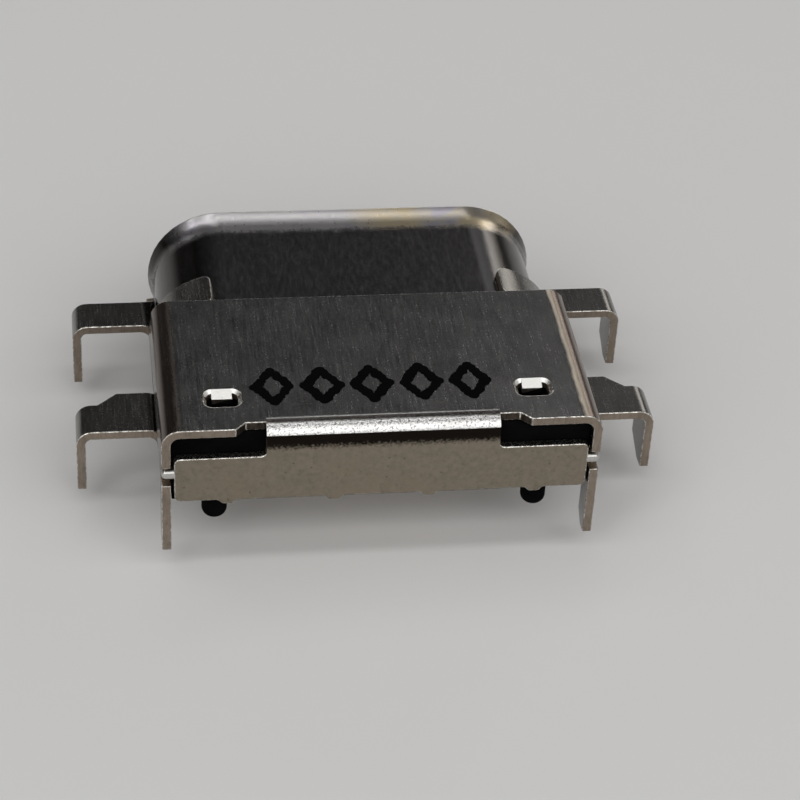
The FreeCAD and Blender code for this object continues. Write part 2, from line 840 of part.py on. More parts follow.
def insert_side(upper):
    """Side outline of one tongue half, from its tail to its tip."""
    if upper:
        return [
            ("tail_rear_upper", "tail_split + half_gap"),
            ("tail_front + fit_gap", "tail_split + half_gap"),
            ("tail_front + fit_gap", "tube_axis + half_gap"),
            ("tongue_front", "tube_axis + half_gap"),
            ("tongue_front", "tongue_top"),
            ("root_front", "tongue_top"),
            ("root_front", "root_top"),
            ("tail_front_face", "root_top"),
            ("tail_front_face", "tail_top"),
            ("tail_rear_upper", "tail_top"),
        ]
    return [
        ("tail_rear_lower", "0"),
        ("tail_front_face", "0"),
        ("tail_front_face", "root_low"),
        ("root_front", "root_low"),
        ("root_front", "tongue_low"),
        ("tongue_front", "tongue_low"),
        ("tongue_front", "tube_axis - half_gap"),
        ("tail_front", "tube_axis - half_gap"),
        ("tail_front", "tail_split - half_gap"),
        ("tail_rear_lower", "tail_split - half_gap"),
    ]


def trim_insert_sides(body):
    """Step the sides in: a wide root, the tongue, and the narrow tail."""
    for side in ("-", "+"):
        waste = new_sketch(body, "XY")
        past = f"{side}1 * (root_half + cut_margin)"
        tip = "tongue_front + cut_margin"
        add_outline(waste, [
            (f"{side}1 * tongue_half", tip),
            (f"{side}1 * tongue_half", "latch_far"),
            (f"{side}1 * (tongue_half - latch_depth)", "latch_far"),
            (f"{side}1 * (tongue_half - latch_depth)", "latch_near"),
            (f"{side}1 * tongue_half", "latch_near"),
            (f"{side}1 * tongue_half", "root_front"),
            (past, "root_front"),
            (past, tip),
        ])
        cut_through(body, waste)
        flank = new_sketch(body, "XY")
        add_outline(flank, [
            (f"{side}1 * tail_half", "tail_front_face"),
            (past, "tail_front_face"),
            (past, "tail_rear_upper - cut_margin"),
            (f"{side}1 * tail_half", "tail_rear_upper - cut_margin"),
        ])
        cut_through(body, flank)


def contact_front(number):
    """The ground and supply contacts reach further forward than the others."""
    from_side = min(number, CONTACTS_PER_ROW + 1 - number)
    return "long_front" if from_side in (1, 4) else "short_front"


def pin_place(number):
    """The lower row's pins stand in two staggered rows, alike on the left and the right."""
    from_side = min(number, CONTACTS_PER_ROW + 1 - number)
    return "pin_far" if from_side % 2 else "pin_near"


def contact_across(row, number):
    """Contacts are numbered from opposite ends in the two rows."""
    side = "" if row == "a" else "-"
    return f"{side}1 * ({(CONTACTS_PER_ROW + 1) / 2} - {number}) * contact_pitch"


def contact_side(row, number, grow="0"):
    """Side outline of a contact, grown all round for the slot that holds it."""
    front = f"{contact_front(number)} + {grow}"
    if row == "a":
        back = f"upper_drop - half_thick - {grow}"
        face = f"upper_drop + half_thick + {grow}"
        return [
            (front, f"upper_low - {grow}"),
            (front, f"upper_top + {grow}"),
            (back, f"upper_top + {grow}"),
            (back, f"contact_thick + {grow}"),
            (f"upper_foot - {grow}", f"contact_thick + {grow}"),
            (f"upper_foot - {grow}", f"0 - {grow}"),
            (face, f"0 - {grow}"),
            (face, f"upper_low - {grow}"),
        ]
    pin = pin_place(number)
    return [
        (front, f"lower_low - {grow}"),
        (front, f"lower_top + {grow}"),
        (f"lower_rise + half_thick + {grow}", f"lower_top + {grow}"),
        (f"lower_rise + half_thick + {grow}", f"lower_tail + half_thick + {grow}"),
        (f"{pin} - half_thick - {grow}", f"lower_tail + half_thick + {grow}"),
        (f"{pin} - half_thick - {grow}", f"pin_low - {grow}"),
        (f"{pin} + half_thick + {grow}", f"pin_low - {grow}"),
        (f"{pin} + half_thick + {grow}", f"lower_tail - half_thick - {grow}"),
        (f"lower_rise - half_thick - {grow}", f"lower_tail - half_thick - {grow}"),
        (f"lower_rise - half_thick - {grow}", f"lower_low - {grow}"),
    ]


def build_insert(label, row):
    """One half of the tongue, with a slot for each of its twelve contacts."""
    upper = row == "a"
    body = new_body(label)
    outline = new_sketch(body, "YZ")
    add_outline(outline, insert_side(upper))
    pad_both(body, outline, "2 * root_half")
    trim_insert_sides(body)
    face = "tongue_top" if upper else "tongue_low"
    root_face = "root_top" if upper else "root_low"

    def on_tip(edge):
        front = near(edge.CenterOfMass.y, "tongue_front")
        return runs_along(edge, 0) and front and near(edge.CenterOfMass.z, face)

    finish_edges(body, "Chamfer", on_tip, "tongue_chamfer")

    def on_root(edge):
        middle = edge.CenterOfMass
        return runs_along(edge, 1) and near(middle.z, root_face) and near(abs(middle.x), "root_half")

    finish_edges(body, "Fillet", on_root, "root_round")
    seat = new_sketch(body, "XY", "tube_axis")
    add_box_outline(
        seat, "-plate_half - fit_gap", "plate_half + fit_gap", "plate_rear - fit_gap", "plate_front + fit_gap"
    )
    cut(body, seat, "plate_seat", reverse=upper)
    ground = new_sketch(body, "XY", root_face)
    add_outline(ground, rounded_box(
        "(-pad_half - fit_gap)", "(pad_half + fit_gap)", "(pad_rear - fit_gap)", "(pad_front + fit_gap)",
        "pad_round",
    ))
    cut(body, ground, "pad_thick - proud + fit_gap", reverse=not upper)
    for number in range(1, CONTACTS_PER_ROW + 1):
        slot = new_sketch(body, "YZ", contact_across(row, number))
        add_outline(slot, contact_side(row, number, "fit_gap"))
        cut_both(body, slot, "contact_width + 2 * fit_gap")
    return body


def build_plate():
    """The steel plate between the two halves, notched where the plug's latches grip."""
    body = new_body("mid_plate")
    outline = new_sketch(body, "XY", "tube_axis")
    corners = []
    for side, order in (("+", 1), ("-", -1)):
        edge = [
            (f"{side}1 * plate_half", "plate_rear"),
            (f"{side}1 * plate_half", "latch_near + contact_thick"),
            (f"{side}1 * (plate_half - plate_notch)", "latch_near + contact_thick"),
            (f"{side}1 * (plate_half - plate_notch)", "latch_far - contact_thick"),
            (f"{side}1 * plate_half", "latch_far - contact_thick"),
            (f"{side}1 * plate_half", "plate_front"),
        ]
        corners += edge[::order]
    add_outline(outline, corners)
    pad_both(body, outline, "plate_thick")
    return body


def build_ground_pad(label, face, upper):
    """A thin plate let into the root's upper or lower face, standing a little proud."""
    body = new_body(label)
    outline = new_sketch(body, "XY", face)
    add_outline(outline, rounded_box("-pad_half", "pad_half", "pad_rear", "pad_front", "pad_round"))
    pad(body, outline, "pad_thick", reverse=upper)
    return body


def build_contact(row, number):
    """A flat strip on the tongue that runs back through the base and turns down to the board."""
    body = new_body(f"contact_{row}{number}")
    outline = new_sketch(body, "YZ", contact_across(row, number))
    add_outline(outline, contact_side(row, number))
    pad_both(body, outline, "contact_width")
    if row == "a":
        inner = [("upper_drop + half_thick", "upper_low"), ("upper_drop - half_thick", "contact_thick")]
        outer = [("upper_drop - half_thick", "upper_top"), ("upper_drop + half_thick", "0")]
    else:
        pin = pin_place(number)
        inner = [(f"{pin} + half_thick", "lower_tail - half_thick")]
        outer = [
            ("lower_rise - half_thick", "lower_low"),
            ("lower_rise + half_thick", "lower_tail + half_thick"),
            (f"{pin} - half_thick", "lower_tail + half_thick"),
        ]
    for places, radius in ((inner, "contact_bend"), (outer, "contact_bend_outer")):

        def at_bend(edge):
            middle = edge.CenterOfMass
            return runs_along(edge, 0) and any(near(middle.y, y) and near(middle.z, z) for y, z in places)

        finish_edges(body, "Fillet", at_bend, radius)
    return body


def write_parts(bodies):
    """Check every object and every solid, then write one file for each sub-part."""
    document.recompute()
    failed = [item.Label for item in document.Objects if {"Invalid", "Error"} & set(item.State)]
    if failed:
        raise RuntimeError(f"failed objects: {failed}")
    os.makedirs("parts", exist_ok=True)
    for body in bodies:
        shape = body.Shape
        if shape.isNull() or not shape.isValid() or len(shape.Solids) != 1:
            raise RuntimeError(f"{body.Label} is not one valid solid")
    for body in bodies:
        body.Shape.exportStep(f"parts/{body.Label}.step")
        print(body.Label, round(body.Shape.Volume, 4), body.Shape.BoundBox)


fill_sheet()
pieces = [
    build_tube(),
    build_cover(),
    build_bracket(),
    build_housing(),
    build_insert("upper_insert", "a"),
    build_insert("lower_insert", "b"),
    build_plate(),
    build_ground_pad("upper_ground_pad", "root_top + proud", True),
    build_ground_pad("lower_ground_pad", "root_low - proud", False),
]
for contact_row in ("a", "b"):
    for contact_number in range(1, CONTACTS_PER_ROW + 1):
        pieces.append(build_contact(contact_row, contact_number))
write_parts(pieces)
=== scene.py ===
"""Looks of a board-edge socket: softened metal copies, finishes, an ink row, studio light and camera.

Lengths in the constants and classes are millimetres. MM turns them into the frame's metres.
"""

import logging
import math
import random
from abc import ABC, abstractmethod
from collections.abc import Callable
from dataclasses import dataclass, field
from enum import Enum

import bpy
from mathutils import Matrix, Vector


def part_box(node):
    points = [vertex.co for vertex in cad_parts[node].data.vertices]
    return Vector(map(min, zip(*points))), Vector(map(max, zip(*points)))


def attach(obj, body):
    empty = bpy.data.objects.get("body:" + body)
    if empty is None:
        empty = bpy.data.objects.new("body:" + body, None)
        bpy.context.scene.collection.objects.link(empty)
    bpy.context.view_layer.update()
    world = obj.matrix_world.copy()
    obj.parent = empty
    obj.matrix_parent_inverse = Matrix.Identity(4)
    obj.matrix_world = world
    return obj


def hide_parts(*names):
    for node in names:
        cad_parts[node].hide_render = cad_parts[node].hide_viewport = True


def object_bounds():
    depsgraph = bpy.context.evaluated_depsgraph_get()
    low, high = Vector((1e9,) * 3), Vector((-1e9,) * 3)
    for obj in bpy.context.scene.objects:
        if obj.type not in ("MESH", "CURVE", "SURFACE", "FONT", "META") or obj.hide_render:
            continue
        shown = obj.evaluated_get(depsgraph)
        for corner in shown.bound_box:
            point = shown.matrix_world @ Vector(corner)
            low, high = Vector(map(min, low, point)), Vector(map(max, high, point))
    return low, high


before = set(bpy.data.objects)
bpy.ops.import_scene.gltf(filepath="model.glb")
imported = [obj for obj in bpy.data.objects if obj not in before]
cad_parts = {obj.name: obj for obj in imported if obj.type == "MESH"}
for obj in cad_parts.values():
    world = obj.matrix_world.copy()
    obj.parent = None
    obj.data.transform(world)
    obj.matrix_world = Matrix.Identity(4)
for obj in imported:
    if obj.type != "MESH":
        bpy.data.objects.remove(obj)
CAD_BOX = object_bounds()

MM = 0.001
SMOOTH_ANGLE = math.radians(25)
FLAT_ANGLE = math.radians(0.4)
MERGE_REACH = 0.0005
RAY_START = 0.001
THICKNESS_MARGIN = 0.12
BEVEL_STEPS = 2
AREA_WEIGHT = 100
SPOT_CORE = 0.6
INK_SEED = 11

Colour = tuple[float, float, float]
Triple = tuple[float, float, float]
Rate = float | Triple
Pair = tuple[float, float]
Span = tuple[float, float]
Socket = bpy.types.NodeSocket
Value = float | Socket

# Nearly all values of a noise lie in WIDE, and most of them in MIDDLE. LEFT_TO_RIGHT is the stretch along X
# in which a tone changes from the left half's to the right half's, in millimetres.
WIDE: Span = (0.3, 0.7)
MIDDLE: Span = (0.35, 0.65)
WHOLE: Span = (0.0, 1.0)
LEFT_TO_RIGHT: Span = (-1.0, 1.0)

log = logging.getLogger("socket")


class Zone(Enum):
    """The kinds of surface on a pressed piece."""

    FACE = "face"
    BEND = "bend"
    FLAP = "flap"
    DOT = "dot"
    RELIEF = "relief"
    TAB = "tab"
    SIDE = "side"
    RIM = "rim"


class Graph:
    """A material's node tree, with one short method for each kind of node that the finishes use."""

    def __init__(self, name: str) -> None:
        """Starts a material whose textures read the object's own coordinates in millimetres.

        Args:
            name: The material's name.
        """
        self.material = bpy.data.materials.new(name)
        self.material.use_nodes = True
        self.tree = self.material.node_tree
        self.surface = self.tree.nodes["Principled BSDF"]
        coordinates = self.tree.nodes.new("ShaderNodeTexCoord").outputs["Object"]
        self.place = self.mapped(coordinates, (1 / MM,) * 3)

    def make(self, kind: str, inputs: dict[str | int, object], **settings: object) -> bpy.types.Node:
        """Adds a node, sets its options and fills or links its inputs.

        Args:
            kind: The node's type name.
            inputs: Each input's name or number, and its value or the socket to link.
            **settings: The node's own options.

        Returns:
            The new node.
        """
        node = self.tree.nodes.new(kind)
        for option, value in settings.items():
            setattr(node, option, value)
        for key, value in inputs.items():
            if isinstance(value, Socket):
                self.tree.links.new(value, node.inputs[key])
            else:
                node.inputs[key].default_value = value
        return node

    def mapped(self, vector: Socket, scale: Triple, shift: float = 0.0) -> Socket:
        """Scales a vector and shifts it by one length along all three axes.

        Args:
            vector: The vector to change.
            scale: The factor along each axis.
            shift: What is added along each axis.

        Returns:
            The changed vector.
        """
        inputs = {"Vector": vector, "Scale": scale, "Location": (shift,) * 3}
        return self.make("ShaderNodeMapping", inputs).outputs["Vector"]

    def noise(self, per_mm: Rate, detail: float = 3.0, rough: float = 0.5, shift: float = 0.0) -> Socket:
        """Cloudy noise from 0 to 1.

        Args:
            per_mm: How often the pattern changes per millimetre, in all directions or along each axis.
            detail: The number of finer layers.
            rough: How strong the finer layers are.
            shift: A shift that makes one pattern differ from another.

        Returns:
            The noise value.
        """
        scale = per_mm if isinstance(per_mm, tuple) else (per_mm,) * 3
        vector = self.mapped(self.place, scale, shift)
        inputs = {"Vector": vector, "Scale": 1.0, "Detail": detail, "Roughness": rough}
        return self.make("ShaderNodeTexNoise", inputs).outputs["Fac"]

    def specks(self, per_mm: float, reach: float, shift: float = 0.0) -> Socket:
        """Small round spots, 1 inside a spot and 0 outside.

        Args:
            per_mm: The number of cells per millimetre.
            reach: A spot's reach as a share of its cell.
            shift: A shift that makes one pattern differ from another.

        Returns:
            The spots' value.
        """
        vector = self.mapped(self.place, (per_mm,) * 3, shift)
        distance = self.make("ShaderNodeTexVoronoi", {"Vector": vector, "Scale": 1.0}).outputs["Distance"]
        return self.grade(distance, (reach * SPOT_CORE, reach), 1.0, 0.0)

    def axis(self, name: str) -> Socket:
        """The coordinate X, Y or Z in millimetres."""
        return self.make("ShaderNodeSeparateXYZ", {"Vector": self.place}).outputs[name]

    def distance(self, name: str) -> Socket:
        """The distance from the object's middle along X, Y or Z, in millimetres."""
        return self.math("ABSOLUTE", self.axis(name), 0.0)

    def grade(self, value: Value, span: Span, low: float = 0.0, high: float = 1.0) -> Socket:
        """Maps the values of a span to a new range and holds them there.

        Args:
            value: The value to map.
            span: The values that give low and high.
            low: The result at the span's first value.
            high: The result at its second value.

        Returns:
            The mapped value.
        """
        inputs = {"Value": value, "From Min": span[0], "From Max": span[1], "To Min": low, "To Max": high}
        return self.make("ShaderNodeMapRange", inputs, clamp=True).outputs["Result"]

    def math(self, operation: str, first: Value, second: Value) -> Socket:
        """One sum, product or other operation on two values.

        Args:
            operation: The Math node's operation.
            first: The first value.
            second: The second value.

        Returns:
            The result.
        """
        return self.make("ShaderNodeMath", {0: first, 1: second}, operation=operation).outputs["Value"]

    def add(self, first: Value, second: Value) -> Socket:
        """The sum of two values."""
        return self.math("ADD", first, second)

    def times(self, first: Value, second: Value) -> Socket:
        """The product of two values."""
        return self.math("MULTIPLY", first, second)

    def tint(self, share: Value, first: Colour | Socket, second: Colour | Socket) -> Socket:
        """Blends two colours.

        Args:
            share: The second colour's share.
            first: The colour at share 0.
            second: The colour at share 1.

        Returns:
            The blended colour.
        """
        ends = [end if isinstance(end, Socket) else (*end, 1.0) for end in (first, second)]
        node = self.make("ShaderNodeMix", {0: share, 6: ends[0], 7: ends[1]}, data_type="RGBA")
        return node.outputs[2]

    def relief(self, height: Value, depth: float, under: Socket | None = None) -> Socket:
        """Turns a height pattern into bumps.

        Args:
            height: The pattern, from 0 to 1.
            depth: The bumps' height in millimetres.
            under: The normal of coarser bumps below these.

        Returns:
            The bent normal.
        """
        inputs = {"Height": height, "Distance": depth * MM, "Strength": 1.0}
        if under is not None:
            inputs["Normal"] = under
        return self.make("ShaderNodeBump", inputs).outputs["Normal"]

    def dress(self, **values: object) -> bpy.types.Material:
        """Fills the shader's sockets and hands the material over.

        Args:
            **values: Each socket's name, with underscores for spaces, and its value or link.

        Returns:
            The finished material.
        """
        for name, value in values.items():
            target = self.surface.inputs[name.replace("_", " ")]
            if isinstance(value, Socket):
                self.tree.links.new(value, target)
            else:
                target.default_value = value
        return self.material


class Finish(ABC):
    """The finish of a surface."""

    @abstractmethod
    def material(self) -> bpy.types.Material:
        """Builds the finish's material."""


@dataclass(frozen=True)
class RolledSteel(Finish):
    """Nickel-plated sheet with fine rolling streaks along Y, cloudy patches and a few dust specks.

    Args:
        name: The material's name.
        deep: The darkest tone.
        pale: The palest tone.
        rough_low: The roughness where the sheet is glossiest.
        rough_high: The roughness where it is dullest.
        streaks: How often the streaks change per millimetre.
        clouds: How often the patches change per millimetre.
        relief: The streaks' height in millimetres. The pits are twice as deep.
        pits: How often the pits change per millimetre.
        tone_shares: What the streaks, pits and patches each add to the tone.
        gloss_shares: What the streaks and pits each add to the roughness.
        dust_cells: The number of cells per millimetre that can hold a speck of dust.
        dust: A speck's reach as a share of its cell.
        dust_share: How much of the metal a speck hides.
        dust_tone: The specks' colour.
    """

    name: str
    deep: Colour
    pale: Colour
    rough_low: float = 0.18
    rough_high: float = 0.30
    streaks: Rate = (30.0, 1.6, 30.0)
    clouds: float = 1.3
    relief: float = 0.0004
    pits: float = 18.0
    tone_shares: Triple = (0.34, 0.20, 0.46)
    gloss_shares: Pair = (0.60, 0.40)
    dust_cells: float = 2.1
    dust: float = 0.06
    dust_share: float = 0.5
    dust_tone: Colour = (0.70, 0.69, 0.66)

    def material(self) -> bpy.types.Material:
        """Builds the finish's material.

        Returns:
            The material.
        """
        graph = Graph(self.name)
        streak = graph.noise(self.streaks, detail=5.0, rough=0.62)
        cloud = graph.noise(self.clouds, detail=5.0, rough=0.6, shift=3.7)
        pit = graph.noise(self.pits, detail=3.0, rough=0.6, shift=8.1)
        layers = zip((streak, pit, cloud), self.tone_shares)
        streaked, pitted, clouded = [graph.grade(layer, WIDE, 0.0, share) for layer, share in layers]
        tone = graph.add(graph.add(streaked, pitted), clouded)
        speck = graph.times(graph.specks(self.dust_cells, self.dust, shift=1.3), self.dust_share)
        colour = graph.tint(speck, graph.tint(tone, self.deep, self.pale), self.dust_tone)
        streak_share, pit_share = self.gloss_shares
        gloss = graph.add(graph.times(streak, streak_share), graph.times(pit, pit_share))
        rough = graph.grade(gloss, MIDDLE, self.rough_low, self.rough_high)
        normal = graph.relief(streak, self.relief, graph.relief(pit, self.relief * 2.0))
        colour = self.add_marks_and_painted_light(graph, colour)
        rough = self.dull(graph, rough)
        return graph.dress(Base_Color=colour, Metallic=1.0, Roughness=rough, Normal=normal)

    def add_marks_and_painted_light(self, graph: Graph, colour: Socket) -> Socket:
        """Colours special places of the sheet with marks and painted light; plain sheet has none."""
        return colour

    def dull(self, graph: Graph, rough: Socket) -> Socket:
        """Roughens special places of the sheet; plain sheet has none."""
        return rough


@dataclass(frozen=True)
class FoldedSteel(RolledSteel):
    """The cover's sheet: brown painted shade round its long folds, darkest at the left, and a pale painted
    highlight line along them, mostly at the right.

    Args:
        fold_at: The folds' distance from the middle.
        brown_reach: Where the painted shade starts and where it is full, from the fold.
        line_start: Where the painted highlight line starts and where it is full, from the fold.
        line_end: Where the line starts to fade and where it is gone, from the fold.
        ragged: How far these places stray.
        fold_top: The height at which the painted shade starts.
        top_blur: How far above and below that height it fades in.
        faintest_line: How strong the painted highlight line is where it is thinnest.
        left_line_share: How strong the left painted highlight line is, next to the right one.
        painted_shade: The painted shade's colour at the left and at the right.
        line_highlight: The painted highlight line's colour.
        line_highlight_rough: What the highlight line adds to the roughness.
    """

    fold_at: float = 4.27
    brown_reach: Span = (-0.10, 0.06)
    line_start: Span = (-0.05, 0.02)
    line_end: Span = (0.05, 0.13)
    ragged: float = 0.03
    fold_top: float = 1.50
    top_blur: float = 0.08
    faintest_line: float = 0.35
    left_line_share: float = 0.15
    # Painted shade on the folds, darker at the left than at the right.
    painted_shade: tuple[Colour, Colour] = ((0.11, 0.085, 0.07), (0.20, 0.155, 0.13))
    # A painted highlight along the folds, strongest at the right.
    line_highlight: Colour = (0.97, 0.88, 0.73)
    line_highlight_rough: float = 0.55

    def from_fold(self, reach: Span) -> Span:
        """Turns two places given from the fold into distances from the middle."""
        return self.fold_at + reach[0], self.fold_at + reach[1]

    def fold(self, graph: Graph) -> tuple[Socket, Socket]:
        """Finds the folds.

        Args:
            graph: The finish's node tree.

        Returns:
            The share of painted shade and the share of the painted highlight line.
        """
        rag = graph.noise((5.0, 1.2, 5.0), detail=4.0, rough=0.65, shift=9.3)
        across = graph.add(graph.distance("X"), graph.grade(rag, WIDE, -self.ragged, self.ragged))
        above = graph.grade(graph.axis("Z"), (self.fold_top - self.top_blur, self.fold_top + self.top_blur))
        # Painted shade round the folds, above fold_top.
        painted_shade = graph.times(graph.grade(across, self.from_fold(self.brown_reach)), above)
        starts = graph.grade(across, self.from_fold(self.line_start))
        ends = graph.grade(across, self.from_fold(self.line_end), 1.0, 0.0)
        # Painted highlight line along the folds, weaker at the left.
        line_highlight = graph.times(graph.times(starts, ends), graph.grade(rag, WHOLE, self.faintest_line))
        return painted_shade, graph.times(line_highlight, graph.grade(graph.axis("X"), LEFT_TO_RIGHT, self.left_line_share))

    def add_marks_and_painted_light(self, graph: Graph, colour: Socket) -> Socket:
        """Paints shade round the folds and a pale highlight line along them.

        Args:
            graph: The finish's node tree.
            colour: The plain sheet's colour.

        Returns:
            The colour with its painted shade and highlight.
        """
        painted_shade, line = self.fold(graph)
        # The painted shade is darker at the left than at the right.
        brown = graph.tint(graph.grade(graph.axis("X"), LEFT_TO_RIGHT), *self.painted_shade)
        return graph.tint(line, graph.tint(painted_shade, colour, brown), self.line_highlight)

    def dull(self, graph: Graph, rough: Socket) -> Socket:
        """Roughens the painted highlight lines."""
        return graph.add(rough, graph.times(self.fold(graph)[1], self.line_highlight_rough))


@dataclass(frozen=True)
class BentSteel(RolledSteel):
    """The bend over the flap, grainy, with painted shade where it leaves the roof.

    Args:
        dark_height: The heights at which the painted shade starts and is full.
        painted_shade: The painted shade's colour.
        grain: The dark grains' colour.
        grains: How often the grains change per millimetre.
        grain_span: The noise at which a grain starts and is full.
        grain_share: How much of the metal a grain hides.
    """

    dark_height: Span = (1.895, 1.925)
    painted_shade: Colour = (0.13, 0.12, 0.11)
    grain: Colour = (0.09, 0.085, 0.08)
    grains: float = 21.0
    grain_span: Span = (0.54, 0.68)
    grain_share: float = 0.60

    def add_marks_and_painted_light(self, graph: Graph, colour: Socket) -> Socket:
        """Strews dark grains and paints shade along the bend's upper edge.

        Args:
            graph: The finish's node tree.
            colour: The plain sheet's colour.

        Returns:
            The colour with its grains and painted shade.
        """
        strewn = graph.noise(self.grains, detail=2.0, shift=5.9)
        colour = graph.tint(graph.grade(strewn, self.grain_span, 0.0, self.grain_share), colour, self.grain)
        # Painted shade: the bend darkens where it leaves the roof.
        return graph.tint(graph.grade(graph.axis("Z"), self.dark_height), colour, self.painted_shade)


@dataclass(frozen=True)
class DrawnSteel(RolledSteel):
    """The drawn tube's sheet, with painted shade round its narrow ends and a pale painted highlight along
    the lip, which has warm and violet hints of painted reflection.

    Args:
        end_shade_reach: Where the painted shade starts and where it is full, from the middle.
        end_shade: The painted shade's colour.
        lip_reach: Where the lip's painted highlight starts and where it is full, along Y.
        lip_height: The heights, up and down from the middle, between which the painted highlight fades in.
        lip_ragged: How far the painted highlight's start strays.
        lip: The lip's painted highlight colour.
        warm: The warm hint's colour, a painted reflection.
        warm_span: The noise at which the warm hint starts and is full.
        warm_share: How strong the warm hint is.
        cool: The violet hint's colour, a painted reflection.
        cool_span: The noise at which the violet hint is full and where it ends.
        cool_share: How strong the violet hint is.
        lip_rough: What the lip adds to the roughness.
    """

    end_shade_reach: Span = (3.0, 3.5)
    end_shade: Colour = (0.032, 0.027, 0.023)
    lip_reach: Span = (6.80, 7.05)
    lip_height: Span = (1.15, 1.55)
    lip_ragged: float = 0.05
    lip: Colour = (0.70, 0.68, 0.68)
    warm: Colour = (0.84, 0.71, 0.48)
    warm_span: Span = (0.40, 0.56)
    warm_share: float = 0.9
    cool: Colour = (0.66, 0.61, 0.70)
    cool_span: Span = (0.38, 0.46)
    cool_share: float = 0.7
    lip_rough: float = 0.13

    def lip_highlight(self, graph: Graph) -> Socket:
        """Finds the lip band of painted highlight, ragged at its start and fading down the narrow ends.

        Args:
            graph: The finish's node tree.

        Returns:
            The painted highlight's share.
        """
        rag = graph.noise((2.6, 6.0, 6.0), detail=4.0, rough=0.6, shift=4.1)
        along = graph.add(graph.axis("Y"), graph.grade(rag, WIDE, -self.lip_ragged, self.lip_ragged))
        in_lip_band = graph.grade(along, self.lip_reach)
        return graph.times(in_lip_band, graph.grade(graph.distance("Z"), self.lip_height))

    def add_marks_and_painted_light(self, graph: Graph, colour: Socket) -> Socket:
        """Paints shade round the narrow ends and a highlight on the lip, with warm painted reflection only
        at the right.

        Args:
            graph: The finish's node tree.
            colour: The plain sheet's colour.

        Returns:
            The colour with its painted shade and highlight.
        """
        # Painted highlight on the lip, with painted reflections: warm at the right, violet in places.
        hue = graph.noise(0.9, detail=2.0, shift=7.7)
        at_right = graph.grade(graph.axis("X"), WHOLE)
        warmed = graph.times(graph.grade(hue, self.warm_span, 0.0, self.warm_share), at_right)
        cooled = graph.grade(hue, self.cool_span, self.cool_share, 0.0)
        lip = graph.tint(cooled, graph.tint(warmed, self.lip, self.warm), self.cool)
        # Painted shade: the narrow ends darken.
        end_shaded = graph.tint(graph.grade(graph.distance("X"), self.end_shade_reach), colour, self.end_shade)
        return graph.tint(self.lip_highlight(graph), end_shaded, lip)

    def dull(self, graph: Graph, rough: Socket) -> Socket:
        """Roughens the lip a little."""
        return graph.add(rough, graph.times(self.lip_highlight(graph), self.lip_rough))


@dataclass(frozen=True)
class MottledSteel(Finish):
    """The flap's sheet: an even orange-peel grain, warm clouds and dark pores, and painted shade under the
    bend.

    Args:
        name: The material's name.
        deep: The grain's dark tone.
        pale: The grain's pale tone.
        warm: The clouds' colour.
        warm_span: The noise at which a cloud starts and is full.
        warm_share: How strong the clouds are.
        rough: The roughness where the sheet is glossiest and where it is dullest.
        peel: How often the grain changes per millimetre.
        relief: The grain's height in millimetres.
        pore_cells: The number of cells per millimetre that can hold a pore.
        pore: A pore's reach as a share of its cell.
        pore_share: How dark the pores are.
        pore_tone: The pores' colour.
        fold_height: The heights at which the painted shade starts and is full.
        ragged: How far these heights stray.
        painted_shade: The painted shade's colour.
    """

    name: str
    deep: Colour
    pale: Colour
    warm: Colour
    warm_span: Span = (0.48, 0.72)
    warm_share: float = 0.7
    rough: Span = (0.26, 0.40)
    peel: float = 9.0
    relief: float = 0.0030
    pore_cells: float = 3.3
    pore: float = 0.09
    pore_share: float = 0.6
    pore_tone: Colour = (0.08, 0.07, 0.06)
    fold_height: Span = (1.35, 1.49)
    ragged: float = 0.06
    painted_shade: Colour = (0.013, 0.010, 0.008)

    def material(self) -> bpy.types.Material:
        """Builds the finish's material.

        Returns:
            The material.
        """
        graph = Graph(self.name)
        peel = graph.noise(self.peel, detail=4.0, rough=0.55)
        cloud = graph.noise(0.8, detail=4.0, rough=0.55, shift=5.2)
        pore = graph.specks(self.pore_cells, self.pore, shift=2.9)
        grain = graph.noise(20.0, detail=3.0, rough=0.6, shift=1.7)
        height = graph.add(graph.axis("Z"), graph.grade(grain, WIDE, -self.ragged, self.ragged))
        colour = graph.tint(graph.grade(peel, WIDE), self.deep, self.pale)
        colour = graph.tint(graph.grade(cloud, self.warm_span, 0.0, self.warm_share), colour, self.warm)
        colour = graph.tint(graph.times(pore, self.pore_share), colour, self.pore_tone)
        # Painted shade: a dark band along the flap's top, under the bend.
        colour = graph.tint(graph.grade(height, self.fold_height), colour, self.painted_shade)
        rough = graph.grade(peel, WIDE, *self.rough)
        normal = graph.relief(peel, self.relief)
        return graph.dress(Base_Color=colour, Metallic=1.0, Roughness=rough, Normal=normal)


@dataclass(frozen=True)
class ShearedSteel(Finish):
    """The cut side of a pressed sheet, dull and brownish, with short tears across it.

    Args:
        name: The material's name.
        deep: The darkest tone.
        pale: The palest tone.
        tone_shares: What the tears and the clouds each add to the tone.
        rough: The roughness where the side is glossiest and where it is dullest.
        relief: The tears' depth in millimetres.
    """

    name: str
    deep: Colour
    pale: Colour
    tone_shares: Pair = (0.6, 0.4)
    rough: Span = (0.32, 0.52)
    relief: float = 0.0035

    def material(self) -> bpy.types.Material:
        """Builds the finish's material.

        Returns:
            The material.
        """
        graph = Graph(self.name)
        tear = graph.noise((22.0, 22.0, 5.0), detail=4.0, rough=0.65)
        cloud = graph.noise(2.4, detail=3.0, shift=4.4)
        tear_share, cloud_share = self.tone_shares
        tear_tone = graph.grade(tear, MIDDLE, 0.0, tear_share)
        cloud_tone = graph.grade(cloud, WIDE, 0.0, cloud_share)
        colour = graph.tint(graph.add(tear_tone, cloud_tone), self.deep, self.pale)
        rough = graph.grade(tear, WIDE, *self.rough)
        normal = graph.relief(tear, self.relief)
        return graph.dress(Base_Color=colour, Metallic=1.0, Roughness=rough, Normal=normal)


